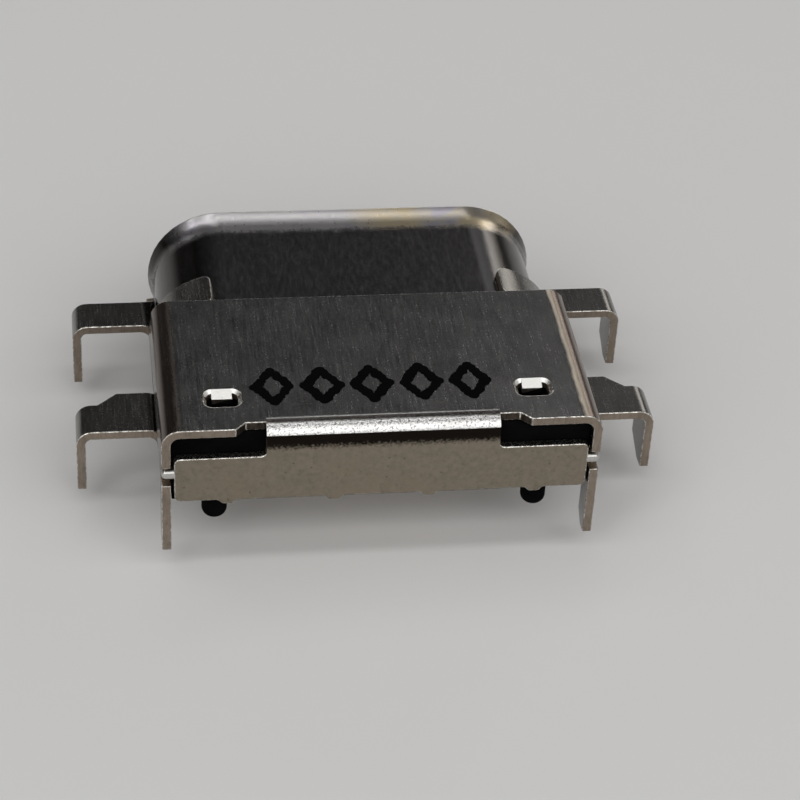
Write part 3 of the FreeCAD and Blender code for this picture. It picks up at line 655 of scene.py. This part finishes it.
@dataclass(frozen=True)
class BurredRim(Finish):
    """The ragged bright rim that a punch leaves along a cut edge.

    Args:
        name: The material's name.
        deep: The dark places' colour.
        pale: The bright places' colour.
        pale_span: The noise at which a bright place starts and is full.
        rough: The roughness where the rim is glossiest and where it is dullest.
        burr: The coarse burrs' height in millimetres.
        nick: The fine nicks' depth in millimetres.
    """

    name: str
    deep: Colour
    pale: Colour
    pale_span: Span = (0.42, 0.62)
    rough: Span = (0.12, 0.38)
    burr: float = 0.0110
    nick: float = 0.0070

    def material(self) -> bpy.types.Material:
        """Builds the finish's material.

        Returns:
            The material.
        """
        graph = Graph(self.name)
        rag = graph.noise(13.0, detail=4.0, rough=0.7)
        glint = graph.noise(31.0, detail=2.0, shift=6.6)
        colour = graph.tint(graph.grade(rag, self.pale_span), self.deep, self.pale)
        rough = graph.grade(glint, MIDDLE, *self.rough)
        normal = graph.relief(glint, self.nick, graph.relief(rag, self.burr))
        return graph.dress(Base_Color=colour, Metallic=1.0, Roughness=rough, Normal=normal)


@dataclass(frozen=True)
class Moulding(Finish):
    """Black glass-filled moulding: fine satin grain with faint pale flow streaks.

    Args:
        name: The material's name.
        deep: The moulding's colour.
        pale: The flow streaks' colour.
        flow_span: The noise at which a streak starts and is full.
        rough: The roughness where the moulding is glossiest and where it is dullest.
        sheen: How much it mirrors, from 0 to 1.
        grain: How often the grain changes per millimetre.
        relief: The grain's height in millimetres.
    """

    name: str
    deep: Colour
    pale: Colour
    flow_span: Span = (0.35, 0.70)
    rough: Span = (0.62, 0.84)
    sheen: float = 0.05
    grain: float = 16.0
    relief: float = 0.0030

    def material(self) -> bpy.types.Material:
        """Builds the finish's material.

        Returns:
            The material.
        """
        graph = Graph(self.name)
        grain = graph.noise(self.grain, detail=4.0, rough=0.6)
        flow = graph.noise((1.1, 6.0, 3.0), detail=4.0, rough=0.6, shift=2.2)
        colour = graph.tint(graph.grade(flow, self.flow_span), self.deep, self.pale)
        rough = graph.grade(grain, WIDE, *self.rough)
        return graph.dress(
            Base_Color=colour, Metallic=0.0, Roughness=rough, Specular_IOR_Level=self.sheen,
            Normal=graph.relief(grain, self.relief),
        )


@dataclass(frozen=True)
class GoldPlating(Finish):
    """Thin gold over nickel, with stamping lines along the contacts and paler rubbed places.

    Args:
        name: The material's name.
        deep: The gold's colour.
        pale: The rubbed places' colour.
        rough: The roughness where the plating is glossiest and where it is dullest.
        relief: The stamping lines' height in millimetres.
    """

    name: str
    deep: Colour = (0.72, 0.46, 0.16)
    pale: Colour = (0.93, 0.72, 0.36)
    rough: Span = (0.16, 0.32)
    relief: float = 0.0012

    def material(self) -> bpy.types.Material:
        """Builds the finish's material.

        Returns:
            The material.
        """
        graph = Graph(self.name)
        line = graph.noise((30.0, 1.5, 8.0), detail=3.0, rough=0.6)
        rub = graph.noise(1.6, detail=3.0, shift=1.9)
        colour = graph.tint(graph.grade(rub, MIDDLE), self.deep, self.pale)
        rough = graph.grade(line, WIDE, *self.rough)
        normal = graph.relief(line, self.relief)
        return graph.dress(Base_Color=colour, Metallic=1.0, Roughness=rough, Normal=normal)


@dataclass(frozen=True)
class DriedInk(Finish):
    """Matt black marking ink, a little uneven and thinned by wear in tiny places.

    Args:
        name: The material's name.
        thick: The colour where the ink is thick.
        thin: The colour where wear has thinned it.
        thin_span: The noise at which a thin place starts and is full.
        rough: The roughness where the ink is glossiest and where it is dullest.
        sheen: How much it mirrors, from 0 to 1.
        relief: Its unevenness in millimetres.
    """

    name: str
    thick: Colour = (0.0008, 0.0008, 0.0008)
    thin: Colour = (0.0022, 0.0021, 0.0020)
    thin_span: Span = (0.35, 0.75)
    rough: Span = (0.66, 0.84)
    sheen: float = 0.02
    relief: float = 0.0020

    def material(self) -> bpy.types.Material:
        """Builds the finish's material.

        Returns:
            The material.
        """
        graph = Graph(self.name)
        film = graph.noise(10.0, detail=4.0, rough=0.6)
        return graph.dress(
            Base_Color=graph.tint(graph.grade(film, self.thin_span), self.thick, self.thin), Metallic=0.0,
            Roughness=graph.grade(film, WIDE, *self.rough), Specular_IOR_Level=self.sheen,
            Normal=graph.relief(film, self.relief),
        )


@dataclass(frozen=True)
class StudioFloor(Finish):
    """The plain pale floor's paint.

    Args:
        name: The material's name.
        shade: The paint's colour.
        pale: How much paler its faint clouds are.
    """

    name: str = "studio_floor"
    shade: Colour = (0.66, 0.653, 0.644)
    pale: float = 1.04

    def material(self) -> bpy.types.Material:
        """Builds the finish's material.

        Returns:
            The material.
        """
        graph = Graph(self.name)
        cloud = graph.noise(0.02, detail=2.0)
        colour = graph.tint(cloud, self.shade, tuple(self.pale * part for part in self.shade))
        return graph.dress(Base_Color=colour, Roughness=0.7, Specular_IOR_Level=0.2)


def deselect_all() -> None:
    """Leaves object mode with nothing selected."""
    if bpy.context.object is not None and bpy.context.object.mode != "OBJECT":
        bpy.ops.object.mode_set(mode="OBJECT")
    bpy.ops.object.select_all(action="DESELECT")


def pick(piece: bpy.types.Object) -> None:
    """Makes a piece the only selected object and the active one.

    Args:
        piece: The piece to pick.
    """
    deselect_all()
    piece.select_set(True)
    bpy.context.view_layer.objects.active = piece


def edit_all(piece: bpy.types.Object) -> None:
    """Goes to edit mode with everything selected.

    Args:
        piece: The piece to work on.
    """
    pick(piece)
    bpy.ops.object.mode_set(mode="EDIT")
    bpy.ops.mesh.select_all(action="SELECT")


def select_faces(piece: bpy.types.Object, chosen: Callable[[bpy.types.MeshPolygon], bool]) -> None:
    """Goes to edit mode with only the chosen faces selected.

    Args:
        piece: The piece to work on.
        chosen: Tells whether a face is to be selected.
    """
    pick(piece)
    bpy.ops.object.mode_set(mode="EDIT")
    bpy.ops.mesh.select_mode(type="FACE")
    bpy.ops.mesh.select_all(action="DESELECT")
    bpy.ops.object.mode_set(mode="OBJECT")
    for face in piece.data.polygons:
        face.select = chosen(face)
    bpy.ops.object.mode_set(mode="EDIT")


def merged_copy(node: str, name: str) -> bpy.types.Object:
    """Copies a CAD node and joins its loose triangles.

    Args:
        node: The CAD node's name.
        name: The copy's name.

    Returns:
        The copy, with nothing riding yet.
    """
    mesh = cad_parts[node].data.copy()
    mesh.name = name
    piece = bpy.data.objects.new(name, mesh)
    bpy.context.scene.collection.objects.link(piece)
    edit_all(piece)
    bpy.ops.mesh.remove_doubles(threshold=MERGE_REACH * MM)
    bpy.ops.object.mode_set(mode="OBJECT")
    bpy.ops.mesh.customdata_custom_splitnormals_clear()
    return piece


def join_flat_faces(piece: bpy.types.Object) -> None:
    """Joins triangles that lie in one plane and have one finish.

    Args:
        piece: The piece to clean.
    """
    edit_all(piece)
    bpy.ops.mesh.dissolve_limited(angle_limit=FLAT_ANGLE, delimit={"MATERIAL"})
    bpy.ops.object.mode_set(mode="OBJECT")


class Part(ABC):
    """A sub-assembly that builds its own pieces."""

    @abstractmethod
    def build(self) -> list[bpy.types.Object]:
        """Builds and dresses the pieces."""


@dataclass
class SoftenedPiece(Part):
    """A piece copied from its CAD node, with its sharp edges slightly rounded.

    Args:
        node: The CAD node.
        slot: The record's material slot. Not used.
        rim: The rounding's width in millimetres.
    """

    node: str
    slot: str
    rim: float = field(default=0.02, kw_only=True)

    def build(self) -> list[bpy.types.Object]:
        """Builds and dresses the piece.

        Returns:
            The one piece.
        """
        piece = merged_copy(self.node, f"{self.node}_soft")
        piece.data.materials.clear()
        self.dress(piece)
        join_flat_faces(piece)
        self.weigh_edges(piece)
        self.soften(piece)
        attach(piece, "root")
        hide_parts(self.node)
        return [piece]

    @abstractmethod
    def dress(self, piece: bpy.types.Object) -> None:
        """Gives the merged copy's faces their finishes."""

    def rim_slot(self) -> int:
        """The material slot of the rounding, or -1 where it keeps its neighbours' finish."""
        return -1

    def is_spared(self, place: Vector) -> bool:
        """Whether the sharp edge at a place in millimetres stays as it is."""
        return False

    def weigh_edges(self, piece: bpy.types.Object) -> None:
        """Marks the sharp edges that are to be rounded.

        Args:
            piece: The piece to mark.
        """
        pick(piece)
        bpy.ops.object.mode_set(mode="EDIT")
        bpy.ops.mesh.select_mode(type="EDGE")
        bpy.ops.mesh.select_all(action="DESELECT")
        bpy.ops.mesh.edges_select_sharp(sharpness=SMOOTH_ANGLE)
        bpy.ops.object.mode_set(mode="OBJECT")
        points = piece.data.vertices
        weights = piece.data.attributes.new("bevel_weight_edge", "FLOAT", "EDGE")
        for edge, weight in zip(piece.data.edges, weights.data):
            middle = (points[edge.vertices[0]].co + points[edge.vertices[1]].co) / (2 * MM)
            weight.value = float(edge.select and not self.is_spared(middle))

    def soften(self, piece: bpy.types.Object) -> None:
        """Rounds the marked edges and smooths the shading between shallow facets.

        Args:
            piece: The piece to soften.
        """
        bpy.ops.object.shade_smooth_by_angle(angle=SMOOTH_ANGLE)
        bevel = piece.modifiers.new("soften", "BEVEL")
        bevel.width = self.rim * MM
        bevel.segments = BEVEL_STEPS
        bevel.limit_method = "WEIGHT"
        bevel.use_clamp_overlap = False
        bevel.loop_slide = False
        bevel.material = self.rim_slot()
        bpy.ops.object.modifier_apply(modifier=bevel.name)
        shading = piece.modifiers.new("shading", "WEIGHTED_NORMAL")
        shading.mode = "FACE_AREA"
        shading.weight = AREA_WEIGHT
        shading.keep_sharp = True
        bpy.ops.object.modifier_apply(modifier=shading.name)


@dataclass
class SheetPiece(SoftenedPiece):
    """A pressed or drawn piece of sheet, whose softened cut edges have a finish of their own.

    Args:
        thicknesses: The sheet's thickness and any thinner place's, in millimetres.
        finishes: One finish for each of the piece's zones, in the order of its material slots.
        rim: The rounding's width in millimetres.
    """

    thicknesses: tuple[float, ...]
    finishes: dict[Zone, Finish]
    rim: float = field(default=0.018, kw_only=True)

    def dress(self, piece: bpy.types.Object) -> None:
        """Gives each face the finish of its zone.

        Args:
            piece: The merged copy.
        """
        for finish in self.finishes.values():
            piece.data.materials.append(finish.material())
        bpy.context.view_layer.update()
        for face in piece.data.polygons:
            face.material_index = self.slot_of(self.zone_of(piece, face))

    def slot_of(self, zone: Zone) -> int:
        """The material slot of a zone."""
        return list(self.finishes).index(zone)

    def rim_slot(self) -> int:
        """The material slot of the burred rim."""
        return self.slot_of(Zone.RIM)

    def zone_of(self, piece: bpy.types.Object, face: bpy.types.MeshPolygon) -> Zone:
        """Tells the sheet's rolled faces from its cut sides by the metal's depth behind them.

        Args:
            piece: The merged copy.
            face: One of its faces.

        Returns:
            The face's zone.
        """
        start = face.center - face.normal * RAY_START * MM
        hit, place, _, _ = piece.ray_cast(start, -face.normal)
        depth = (place - face.center).length / MM if hit else 0.0
        is_cut = all(abs(depth - sheet) > THICKNESS_MARGIN * sheet for sheet in self.thicknesses)
        return self.special_zone(face.center / MM, face.normal, is_cut)

    def special_zone(self, place: Vector, normal: Vector, is_cut: bool) -> Zone:
        """Tells the piece's own zones apart; plain sheet has only faces and cut sides.

        Args:
            place: The face's middle, in millimetres.
            normal: The face's outward direction.
            is_cut: Whether the face is a cut side of the sheet.

        Returns:
            The face's zone.
        """
        return Zone.SIDE if is_cut else Zone.FACE


@dataclass
class RearCover(SheetPiece):
    """The folded cover whose flap closes the socket's rear.

    Args:
        bend_start: Where along Y the roof starts to bend down to the flap.
        bend_half: How far from the middle the bend's finish reaches.
        flap_inside: The flap's inner face along Y.
        flap_half: Half the flap's width.
        flap_normal: The least share of Y in the normal of the flap's flat faces.
        roof_normal: The share of Z in a normal from which a face is the roof's.
        up_normal: The least share of Z in the normal of a face that looks up.
        neck_edge: Half the width of the neck that the flap hangs on.
        neck_low: The height from which the neck's edges stay sharp.
        neck_reach: How far an edge of the neck lies from neck_edge at most.
        dot_level: The height of the side dots' middle.
        dot_reach: How far a dot's faces reach up and down from there.
        dot_margin: How much farther its edges reach up and down.
        dot_inset: How far inside the flap's side its edges start.
        shoulder: The height above which the flap's cut sides are its shoulders' tops.
        cut_height: The height above which a place is in the roof.
        relief_reach: The rear and front ends of the relief slots along Y.
        tab_across: Where the right window's pressed tab lies along X. The left one is its mirror image.
        tab_along: Where the tabs lie along Y.
        tab_slope: The share of Y in the normals of the tabs' upper faces.
    """

    bend_start: float = -0.52
    bend_half: float = 2.95
    flap_inside: float = -0.72
    flap_half: float = 4.42
    flap_normal: float = 0.92
    roof_normal: float = 0.995
    up_normal: float = 0.5
    neck_edge: float = 2.42
    neck_low: float = 1.3
    neck_reach: float = 0.08
    dot_level: float = 0.79
    dot_reach: float = 0.13
    dot_margin: float = 0.02
    dot_inset: float = 0.08
    shoulder: float = 1.0
    cut_height: float = 1.6
    relief_reach: Span = (-0.93, 0.0)
    tab_across: Span = (2.95, 3.75)
    tab_along: Span = (0.20, 0.56)
    tab_slope: Span = (-0.8, -0.05)

    def is_spared(self, place: Vector) -> bool:
        """Whether an edge is on a side dot, on the neck or on a tab, where it stays as it is.

        Args:
            place: The edge's middle, in millimetres.

        Returns:
            True where the edge isn't rounded.
        """
        dot_half = self.dot_reach + self.dot_margin
        on_dot = abs(place.x) > self.flap_half - self.dot_inset and abs(place.z - self.dot_level) < dot_half
        on_neck = abs(abs(place.x) - self.neck_edge) < self.neck_reach and place.z > self.neck_low
        return self.is_on_tab(place) or (place.y < self.bend_start and (on_dot or on_neck))

    def is_on_tab(self, place: Vector) -> bool:
        """Whether a place is on a pressed tab in one of the roof's two windows.

        Args:
            place: The place, in millimetres.

        Returns:
            True on either tab.
        """
        left, right = self.tab_across
        rear, front = self.tab_along
        return left < abs(place.x) < right and rear < place.y < front and place.z > self.cut_height

    def is_in_relief(self, place: Vector) -> bool:
        """Whether a place is in the roof between the ends of the relief slots.

        Args:
            place: The place, in millimetres.

        Returns:
            True at either slot.
        """
        rear, front = self.relief_reach
        return rear < place.y < front and abs(place.x) < self.flap_half and place.z > self.cut_height

    def special_zone(self, place: Vector, normal: Vector, is_cut: bool) -> Zone:
        """Tells the window tabs, relief slots, side dots, shoulders' ragged tops, flap and bend apart.

        Args:
            place: The face's middle, in millimetres.
            normal: The face's outward direction.
            is_cut: Whether the face is a cut side of the sheet.

        Returns:
            The face's zone.
        """
        on_flap = place.y < self.flap_inside
        looks_up = normal.z > self.up_normal
        if self.is_on_tab(place) and looks_up and self.tab_slope[0] < normal.y < self.tab_slope[1]:
            return Zone.TAB
        if is_cut and self.is_in_relief(place):
            return Zone.RELIEF
        if on_flap and abs(place.x) > self.flap_half and abs(place.z - self.dot_level) < self.dot_reach:
            return Zone.DOT
        if is_cut:
            return Zone.RIM if on_flap and looks_up and place.z > self.shoulder else Zone.SIDE
        if on_flap and abs(normal.y) > self.flap_normal and abs(place.x) < self.flap_half:
            return Zone.FLAP
        if place.y < self.bend_start and abs(place.x) < self.bend_half and abs(normal.z) < self.roof_normal:
            return Zone.BEND
        return Zone.FACE


@dataclass
class LegBracket(SheetPiece):
    """The bracket under the tube, with its straps and its four folded legs.

    Args:
        gusset_rear: Where the front legs' gussets start along Y.
        gusset_low: The height at which they start.
    """

    gusset_rear: float = 6.1
    gusset_low: float = 0.0

    def is_spared(self, place: Vector) -> bool:
        """Whether an edge borders a front leg's gusset, which lies too flat to be rounded."""
        return place.y > self.gusset_rear and place.z > self.gusset_low


@dataclass
class MouldedPiece(SoftenedPiece):
    """A moulded piece, with one finish all over.

    Args:
        finish: The moulding's finish.
    """

    finish: Moulding

    def dress(self, piece: bpy.types.Object) -> None:
        """Gives the merged copy its finish.

        Args:
            piece: The merged copy.
        """
        piece.data.materials.append(self.finish.material())
        for face in piece.data.polygons:
            face.material_index = 0


@dataclass
class PlainNodes(Part):
    """CAD nodes that keep their shape and take a finish.

    Args:
        prefix: What the nodes' names start with.
        finish: Their finish.
    """

    prefix: str
    finish: Finish

    def build(self) -> list[bpy.types.Object]:
        """Dresses the nodes.

        Returns:
            The dressed nodes.
        """
        material = self.finish.material()
        chosen = [node for name, node in sorted(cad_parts.items()) if name.startswith(self.prefix)]
        for node in chosen:
            node.data.materials.clear()
            node.data.materials.append(material)
        return chosen


@dataclass
class InkRow(Part):
    """A row of plain open lozenges in dotted ink, where such covers carry a batch mark.

    Args:
        count: The number of lozenges.
        middle: The row's middle in X and Y, in millimetres.
        pitch: The distance from one lozenge to the next.
        half_width: Half a lozenge's width.
        half_length: Half a lozenge's length.
        steps: The number of dots along one side.
        dot: A dot's radius.
        dot_sides: The number of a dot's corners.
        dot_wall: The share of a dot's height that is upright.
        dot_top: A dot's radius at its top, as a share of its radius.
        film: The ink's thickness.
        sunk: How far a dot reaches down into the roof, so that no gap shows.
        sizes: The smallest and largest dot, as shares of the radius.
        stretches: How much longer than wide a dot is at least and at most.
        heights: The thinnest and thickest dot, as shares of the height.
        stray: How far a dot strays from its place.
        chance: What the dots' differences are drawn from.
    """

    count: int = 5
    middle: Pair = (-0.12, 0.50)
    pitch: float = 1.06
    half_width: float = 0.36
    half_length: float = 0.56
    steps: int = 5
    dot: float = 0.122
    dot_sides: int = 14
    dot_wall: float = 0.7
    dot_top: float = 0.8
    film: float = 0.004
    sunk: float = 0.002
    sizes: Span = (0.86, 1.12)
    stretches: Span = (0.95, 1.1)
    heights: Span = (0.8, 1.2)
    stray: float = 0.02
    chance: random.Random = field(default_factory=lambda: random.Random(INK_SEED))

    def build(self) -> list[bpy.types.Object]:
        """Prints the row.

        Returns:
            The one piece that holds all the dots.
        """
        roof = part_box("rear_cover")[1].z / MM
        first = self.model_dot()
        dots = [self.place_dot(first, place, roof) for place in self.dot_places()]
        bpy.data.objects.remove(first)
        deselect_all()
        for dot in dots:
            dot.select_set(True)
        bpy.context.view_layer.objects.active = dots[0]
        bpy.ops.object.join()
        row = bpy.context.object
        row.name = "ink_row"
        bpy.ops.object.transform_apply(location=True, rotation=True, scale=True)
        row.data.materials.clear()
        row.data.materials.append(DriedInk("marking_ink").material())
        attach(row, "root")
        return [row]

    def model_dot(self) -> bpy.types.Object:
        """Models one flat dot with a rounded shoulder, 1 unit in radius and 1 high.

        Returns:
            The dot.
        """
        deselect_all()
        bpy.ops.mesh.primitive_circle_add(
            vertices=self.dot_sides, radius=1.0, fill_type="NGON", location=(0, 0, 0),
        )
        dot = bpy.context.object
        bpy.ops.object.mode_set(mode="EDIT")
        bpy.ops.mesh.select_all(action="SELECT")
        for rise in (self.dot_wall, 1.0 - self.dot_wall):
            bpy.ops.mesh.extrude_region_move(TRANSFORM_OT_translate={"value": (0, 0, rise)})
        bpy.ops.transform.resize(value=(self.dot_top, self.dot_top, 1.0))
        bpy.ops.mesh.select_all(action="SELECT")
        bpy.ops.mesh.normals_make_consistent(inside=False)
        bpy.ops.object.mode_set(mode="OBJECT")
        return dot

    def dot_places(self) -> list[Pair]:
        """Walks round every lozenge.

        Returns:
            The dots' places in X and Y, in millimetres.
        """
        places = []
        corners = ((0, -1), (1, 0), (0, 1), (-1, 0))
        for number in range(self.count):
            middle_x = self.middle[0] + (number - (self.count - 1) / 2) * self.pitch
            for here, there in zip(corners, corners[1:] + corners[:1]):
                for step in range(self.steps):
                    share = step / self.steps
                    across = here[0] * (1 - share) + there[0] * share
                    along = here[1] * (1 - share) + there[1] * share
                    place_y = self.middle[1] + along * self.half_length
                    places.append((middle_x + across * self.half_width, place_y))
        return places

    def place_dot(self, first: bpy.types.Object, place: Pair, roof: float) -> bpy.types.Object:
        """Copies the dot to its place, a little off it and a little larger or smaller.

        Args:
            first: The modelled dot.
            place: Where the dot goes in X and Y, in millimetres.
            roof: The height of the cover's roof, in millimetres.

        Returns:
            The copy, with its own mesh.
        """
        copy = bpy.data.objects.new("ink_dot", first.data.copy())
        bpy.context.scene.collection.objects.link(copy)
        radius = self.dot * self.chance.uniform(*self.sizes)
        shift_x, shift_y = (self.chance.uniform(-self.stray, self.stray) for _ in range(2))
        height = (self.film + self.sunk) * self.chance.uniform(*self.heights)
        length = radius * self.chance.uniform(*self.stretches)
        copy.location = Vector((place[0] + shift_x, place[1] + shift_y, roof - self.sunk)) * MM
        copy.scale = Vector((radius, length, height)) * MM
        return copy


@dataclass(frozen=True)
class Softbox:
    """A soft lamp that faces the object.

    Args:
        name: The lamp's name.
        place: Its middle, in millimetres.
        width: Its size along its own X, in millimetres.
        length: Its size along its own Y, in millimetres.
        brightness: How bright its face is, where 1 is white.
        tint: Its colour.
    """

    name: str
    place: Triple
    width: float
    length: float
    brightness: float
    tint: Colour = (1.0, 1.0, 1.0)

    def build(self) -> None:
        """Hangs the lamp and turns it to the object."""
        place = Vector(self.place) * MM
        bpy.ops.object.light_add(type="AREA", location=place)
        lamp = bpy.context.object
        lamp.name = self.name
        lamp.rotation_euler = (-place).to_track_quat("-Z", "Y").to_euler()
        lamp.data.shape = "RECTANGLE"
        lamp.data.size = self.width * MM
        lamp.data.size_y = self.length * MM
        lamp.data.energy = self.brightness * math.pi * self.width * self.length * MM * MM
        lamp.data.color = self.tint


@dataclass
class Studio:
    """A pale floor that rises gently at its far rim, a dim room and soft lamps.

    Args:
        flat_radius: The radius of the floor's flat part, in millimetres.
        rim_radius: The radius of its raised rim.
        rim_height: How far the rim is raised.
        floor_sides: The number of sides of the round floor.
        lid_margin: How near to the rim's height a face is the lid, which is taken off.
        room: The room's colour.
        lamps: The soft lamps.
    """

    flat_radius: float = 260.0
    rim_radius: float = 620.0
    rim_height: float = 70.0
    floor_sides: int = 128
    lid_margin: float = 0.1
    room: Colour = (0.028, 0.027, 0.028)
    lamps: tuple[Softbox, ...] = (
        Softbox("key", (0.0, -260.0, 203.0), 840.0, 290.0, 1.7),
        Softbox("top_strip", (0.0, -34.0, 328.0), 760.0, 58.0, 2.4),
        Softbox("back_strip", (-90.0, 134.0, 301.0), 420.0, 44.0, 2.3),
        Softbox("back_left", (-170.0, 138.0, 246.0), 36.0, 36.0, 4.6),
        Softbox("mouth_fill", (0.0, 326.0, 46.0), 300.0, 60.0, 2.0),
        Softbox("front_left", (-230.0, -150.0, 170.0), 200.0, 160.0, 0.9),
        Softbox("front_right", (230.0, -150.0, 170.0), 200.0, 160.0, 0.9),
        Softbox("left_fill", (-380.0, 40.0, 150.0), 160.0, 120.0, 0.3, (1.0, 0.97, 0.93)),
        Softbox("right_fill", (360.0, 120.0, 130.0), 200.0, 160.0, 0.6, (1.0, 0.98, 0.95)),
        Softbox("back_right", (169.0, 260.0, 113.0), 70.0, 80.0, 1.9, (1.0, 0.97, 0.92)),
        Softbox("back_glow", (150.0, 225.0, 190.0), 190.0, 120.0, 0.16),
    )

    def build(self) -> None:
        """Sets the floor, the room and the lamps."""
        self.build_floor()
        self.build_room()
        for lamp in self.lamps:
            lamp.build()

    def build_floor(self) -> None:
        """Makes the floor that the object's lowest legs stand on."""
        deselect_all()
        middle_height = CAD_BOX[0].z + self.rim_height * MM / 2
        bpy.ops.mesh.primitive_cone_add(
            vertices=self.floor_sides, radius1=self.flat_radius * MM, radius2=self.rim_radius * MM,
            depth=self.rim_height * MM, end_fill_type="NGON", location=(0, 0, middle_height),
        )
        floor = bpy.context.object
        floor.name = "floor"
        top = max(face.center.z for face in floor.data.polygons)
        select_faces(floor, lambda face: face.center.z > top - self.lid_margin * MM)
        bpy.ops.mesh.delete(type="FACE")
        bpy.ops.object.mode_set(mode="OBJECT")
        bpy.ops.object.transform_apply(location=True, rotation=True, scale=True)
        floor.data.materials.append(StudioFloor().material())

    def build_room(self) -> None:
        """Fills the space round the floor with one dim tone."""
        room = bpy.data.worlds.new("room")
        room.use_nodes = True
        room.node_tree.nodes["Background"].inputs["Color"].default_value = (*self.room, 1.0)
        bpy.context.scene.world = room
        bpy.context.scene.view_settings.view_transform = "Standard"


@dataclass(frozen=True)
class PhotoCamera:
    """The camera, placed and turned as the photograph's.

    Args:
        place: The camera's place, in millimetres.
        yaw: Its turn about the upright, from looking along Y.
        pitch: Its tilt, below the horizon where negative.
        roll: Its turn about its own axis.
        focal_pixels: The focal length in the photograph's pixels.
        frame_pixels: The photograph's width in pixels.
        sensor: The sensor's width, in millimetres.
        reach: The nearest and farthest distance it sees, in millimetres.
    """

    place: Triple = (-6.3515, -41.3283, 32.6917)
    yaw: float = -0.16263
    pitch: float = -0.63475
    roll: float = 0.06015
    focal_pixels: float = 2452.94
    frame_pixels: int = 800
    sensor: float = 36.0
    reach: Span = (1.0, 10000.0)

    def build(self) -> None:
        """Sets the camera up and makes it the scene's."""
        data = bpy.data.cameras.new("camera")
        data.sensor_width = self.sensor
        data.lens = self.focal_pixels * self.sensor / self.frame_pixels
        data.clip_start, data.clip_end = (distance * MM for distance in self.reach)
        camera = bpy.data.objects.new("camera", data)
        bpy.context.scene.collection.objects.link(camera)
        turn = Matrix.Rotation(self.yaw, 4, "Z") @ Matrix.Rotation(math.pi / 2 + self.pitch, 4, "X")
        turn = turn @ Matrix.Rotation(self.roll, 4, "Z")
        camera.matrix_world = Matrix.Translation(Vector(self.place) * MM) @ turn
        bpy.context.scene.camera = camera


def steel_finishes(prefix: str, face: RolledSteel, **others: Finish) -> dict[Zone, Finish]:
    """Groups one pressed piece's finishes by zone.

    Args:
        prefix: What the names of the cut side's and the rim's materials start with.
        face: The rolled faces' finish.
        **others: The finishes of the piece's own zones, by the zones' names.

    Returns:
        Each zone's finish, in the order of the piece's material slots.
    """
    finishes = {Zone.FACE: face}
    finishes |= {Zone[name.upper()]: finish for name, finish in others.items()}
    finishes[Zone.SIDE] = ShearedSteel(f"{prefix}_side", (0.20, 0.165, 0.13), (0.36, 0.30, 0.245))
    finishes[Zone.RIM] = BurredRim(f"{prefix}_rim", (0.24, 0.22, 0.19), (0.80, 0.78, 0.73))
    return finishes


def cover_finishes() -> dict[Zone, Finish]:
    """Chooses the finishes of the rear cover.

    Returns:
        Each zone's finish.
    """
    return steel_finishes(
        "cover",
        FoldedSteel("cover_face", (0.20, 0.196, 0.192), (0.50, 0.494, 0.483), 0.20, 0.28, relief=0.0002),
        # The bend's tones are paler than the roof's: a painted highlight on the same sheet.
        bend=BentSteel(
            "cover_bend", (0.50, 0.49, 0.475), (0.80, 0.795, 0.78), 0.16, 0.28, 26.0, relief=0.0040,
        ),
        flap=MottledSteel("cover_flap", (0.22, 0.195, 0.15), (0.29, 0.25, 0.20), (0.29, 0.235, 0.18)),
        # The relief slots' cut sides are painted dark: painted shade in the slots' hollow.
        relief=ShearedSteel("cover_relief", (0.020, 0.016, 0.013), (0.10, 0.08, 0.065)),
        dot=RolledSteel("cover_dot", (0.46, 0.45, 0.43), (0.72, 0.71, 0.68), 0.26, 0.40, 12.0),
        # The window tabs' near-white tones are a painted highlight on the same sheet.
        tab=RolledSteel("cover_tab", (0.86, 0.85, 0.81), (0.97, 0.96, 0.92), 0.34, 0.50, 14.0),
    )


def tube_finishes() -> dict[Zone, Finish]:
    """Chooses the finishes of the drawn tube.

    Returns:
        Each zone's finish.
    """
    dark, pale = (0.30, 0.29, 0.29), (0.40, 0.39, 0.39)
    return steel_finishes("tube", DrawnSteel("tube_face", dark, pale, 0.14, 0.22, (12.0, 3.0, 12.0), 0.9))


def socket_parts() -> list[Part]:
    """Lists the socket's sub-assemblies with their finishes.

    Returns:
        The objects whose build methods make the pieces.
    """
    bracket_face = RolledSteel("bracket_face", (0.17, 0.163, 0.153), (0.27, 0.26, 0.245))
    black = Moulding("black_moulding", (0.0016, 0.0016, 0.0018), (0.0034, 0.0033, 0.0032), sheen=0.02)
    tongue = Moulding("tongue_moulding", (0.016, 0.016, 0.017), (0.030, 0.029, 0.028), sheen=0.35)
    plate = RolledSteel("plate_face", (0.44, 0.43, 0.41), (0.58, 0.57, 0.54))
    pads = RolledSteel("pad_face", (0.46, 0.45, 0.42), (0.62, 0.60, 0.56))
    return [
        RearCover("rear_cover", "cover_steel", (0.2, 0.13), cover_finishes()),
        SheetPiece("front_shell", "tube_steel", (0.28,), tube_finishes()),
        LegBracket("leg_bracket", "bracket_steel", (0.2,), steel_finishes("bracket", bracket_face)),
        MouldedPiece("housing", "black_moulding", black),
        MouldedPiece("upper_insert", "tongue_moulding", tongue, rim=0.012),
        MouldedPiece("lower_insert", "tongue_moulding", tongue, rim=0.012),
        PlainNodes("contact_", GoldPlating("contact_gold")),
        PlainNodes("mid_plate", plate),
        PlainNodes("upper_ground_pad", pads),
        PlainNodes("lower_ground_pad", pads),
        InkRow(),
    ]


def main() -> None:
    """Builds the studio, the camera and every piece in order."""
    logging.basicConfig(level=logging.INFO, format="%(message)s")
    Studio().build()
    PhotoCamera().build()
    for part in socket_parts():
        for piece in part.build():
            log.info("%s: %d faces", piece.name, len(piece.data.polygons))


if __name__ == "__main__":
    main()
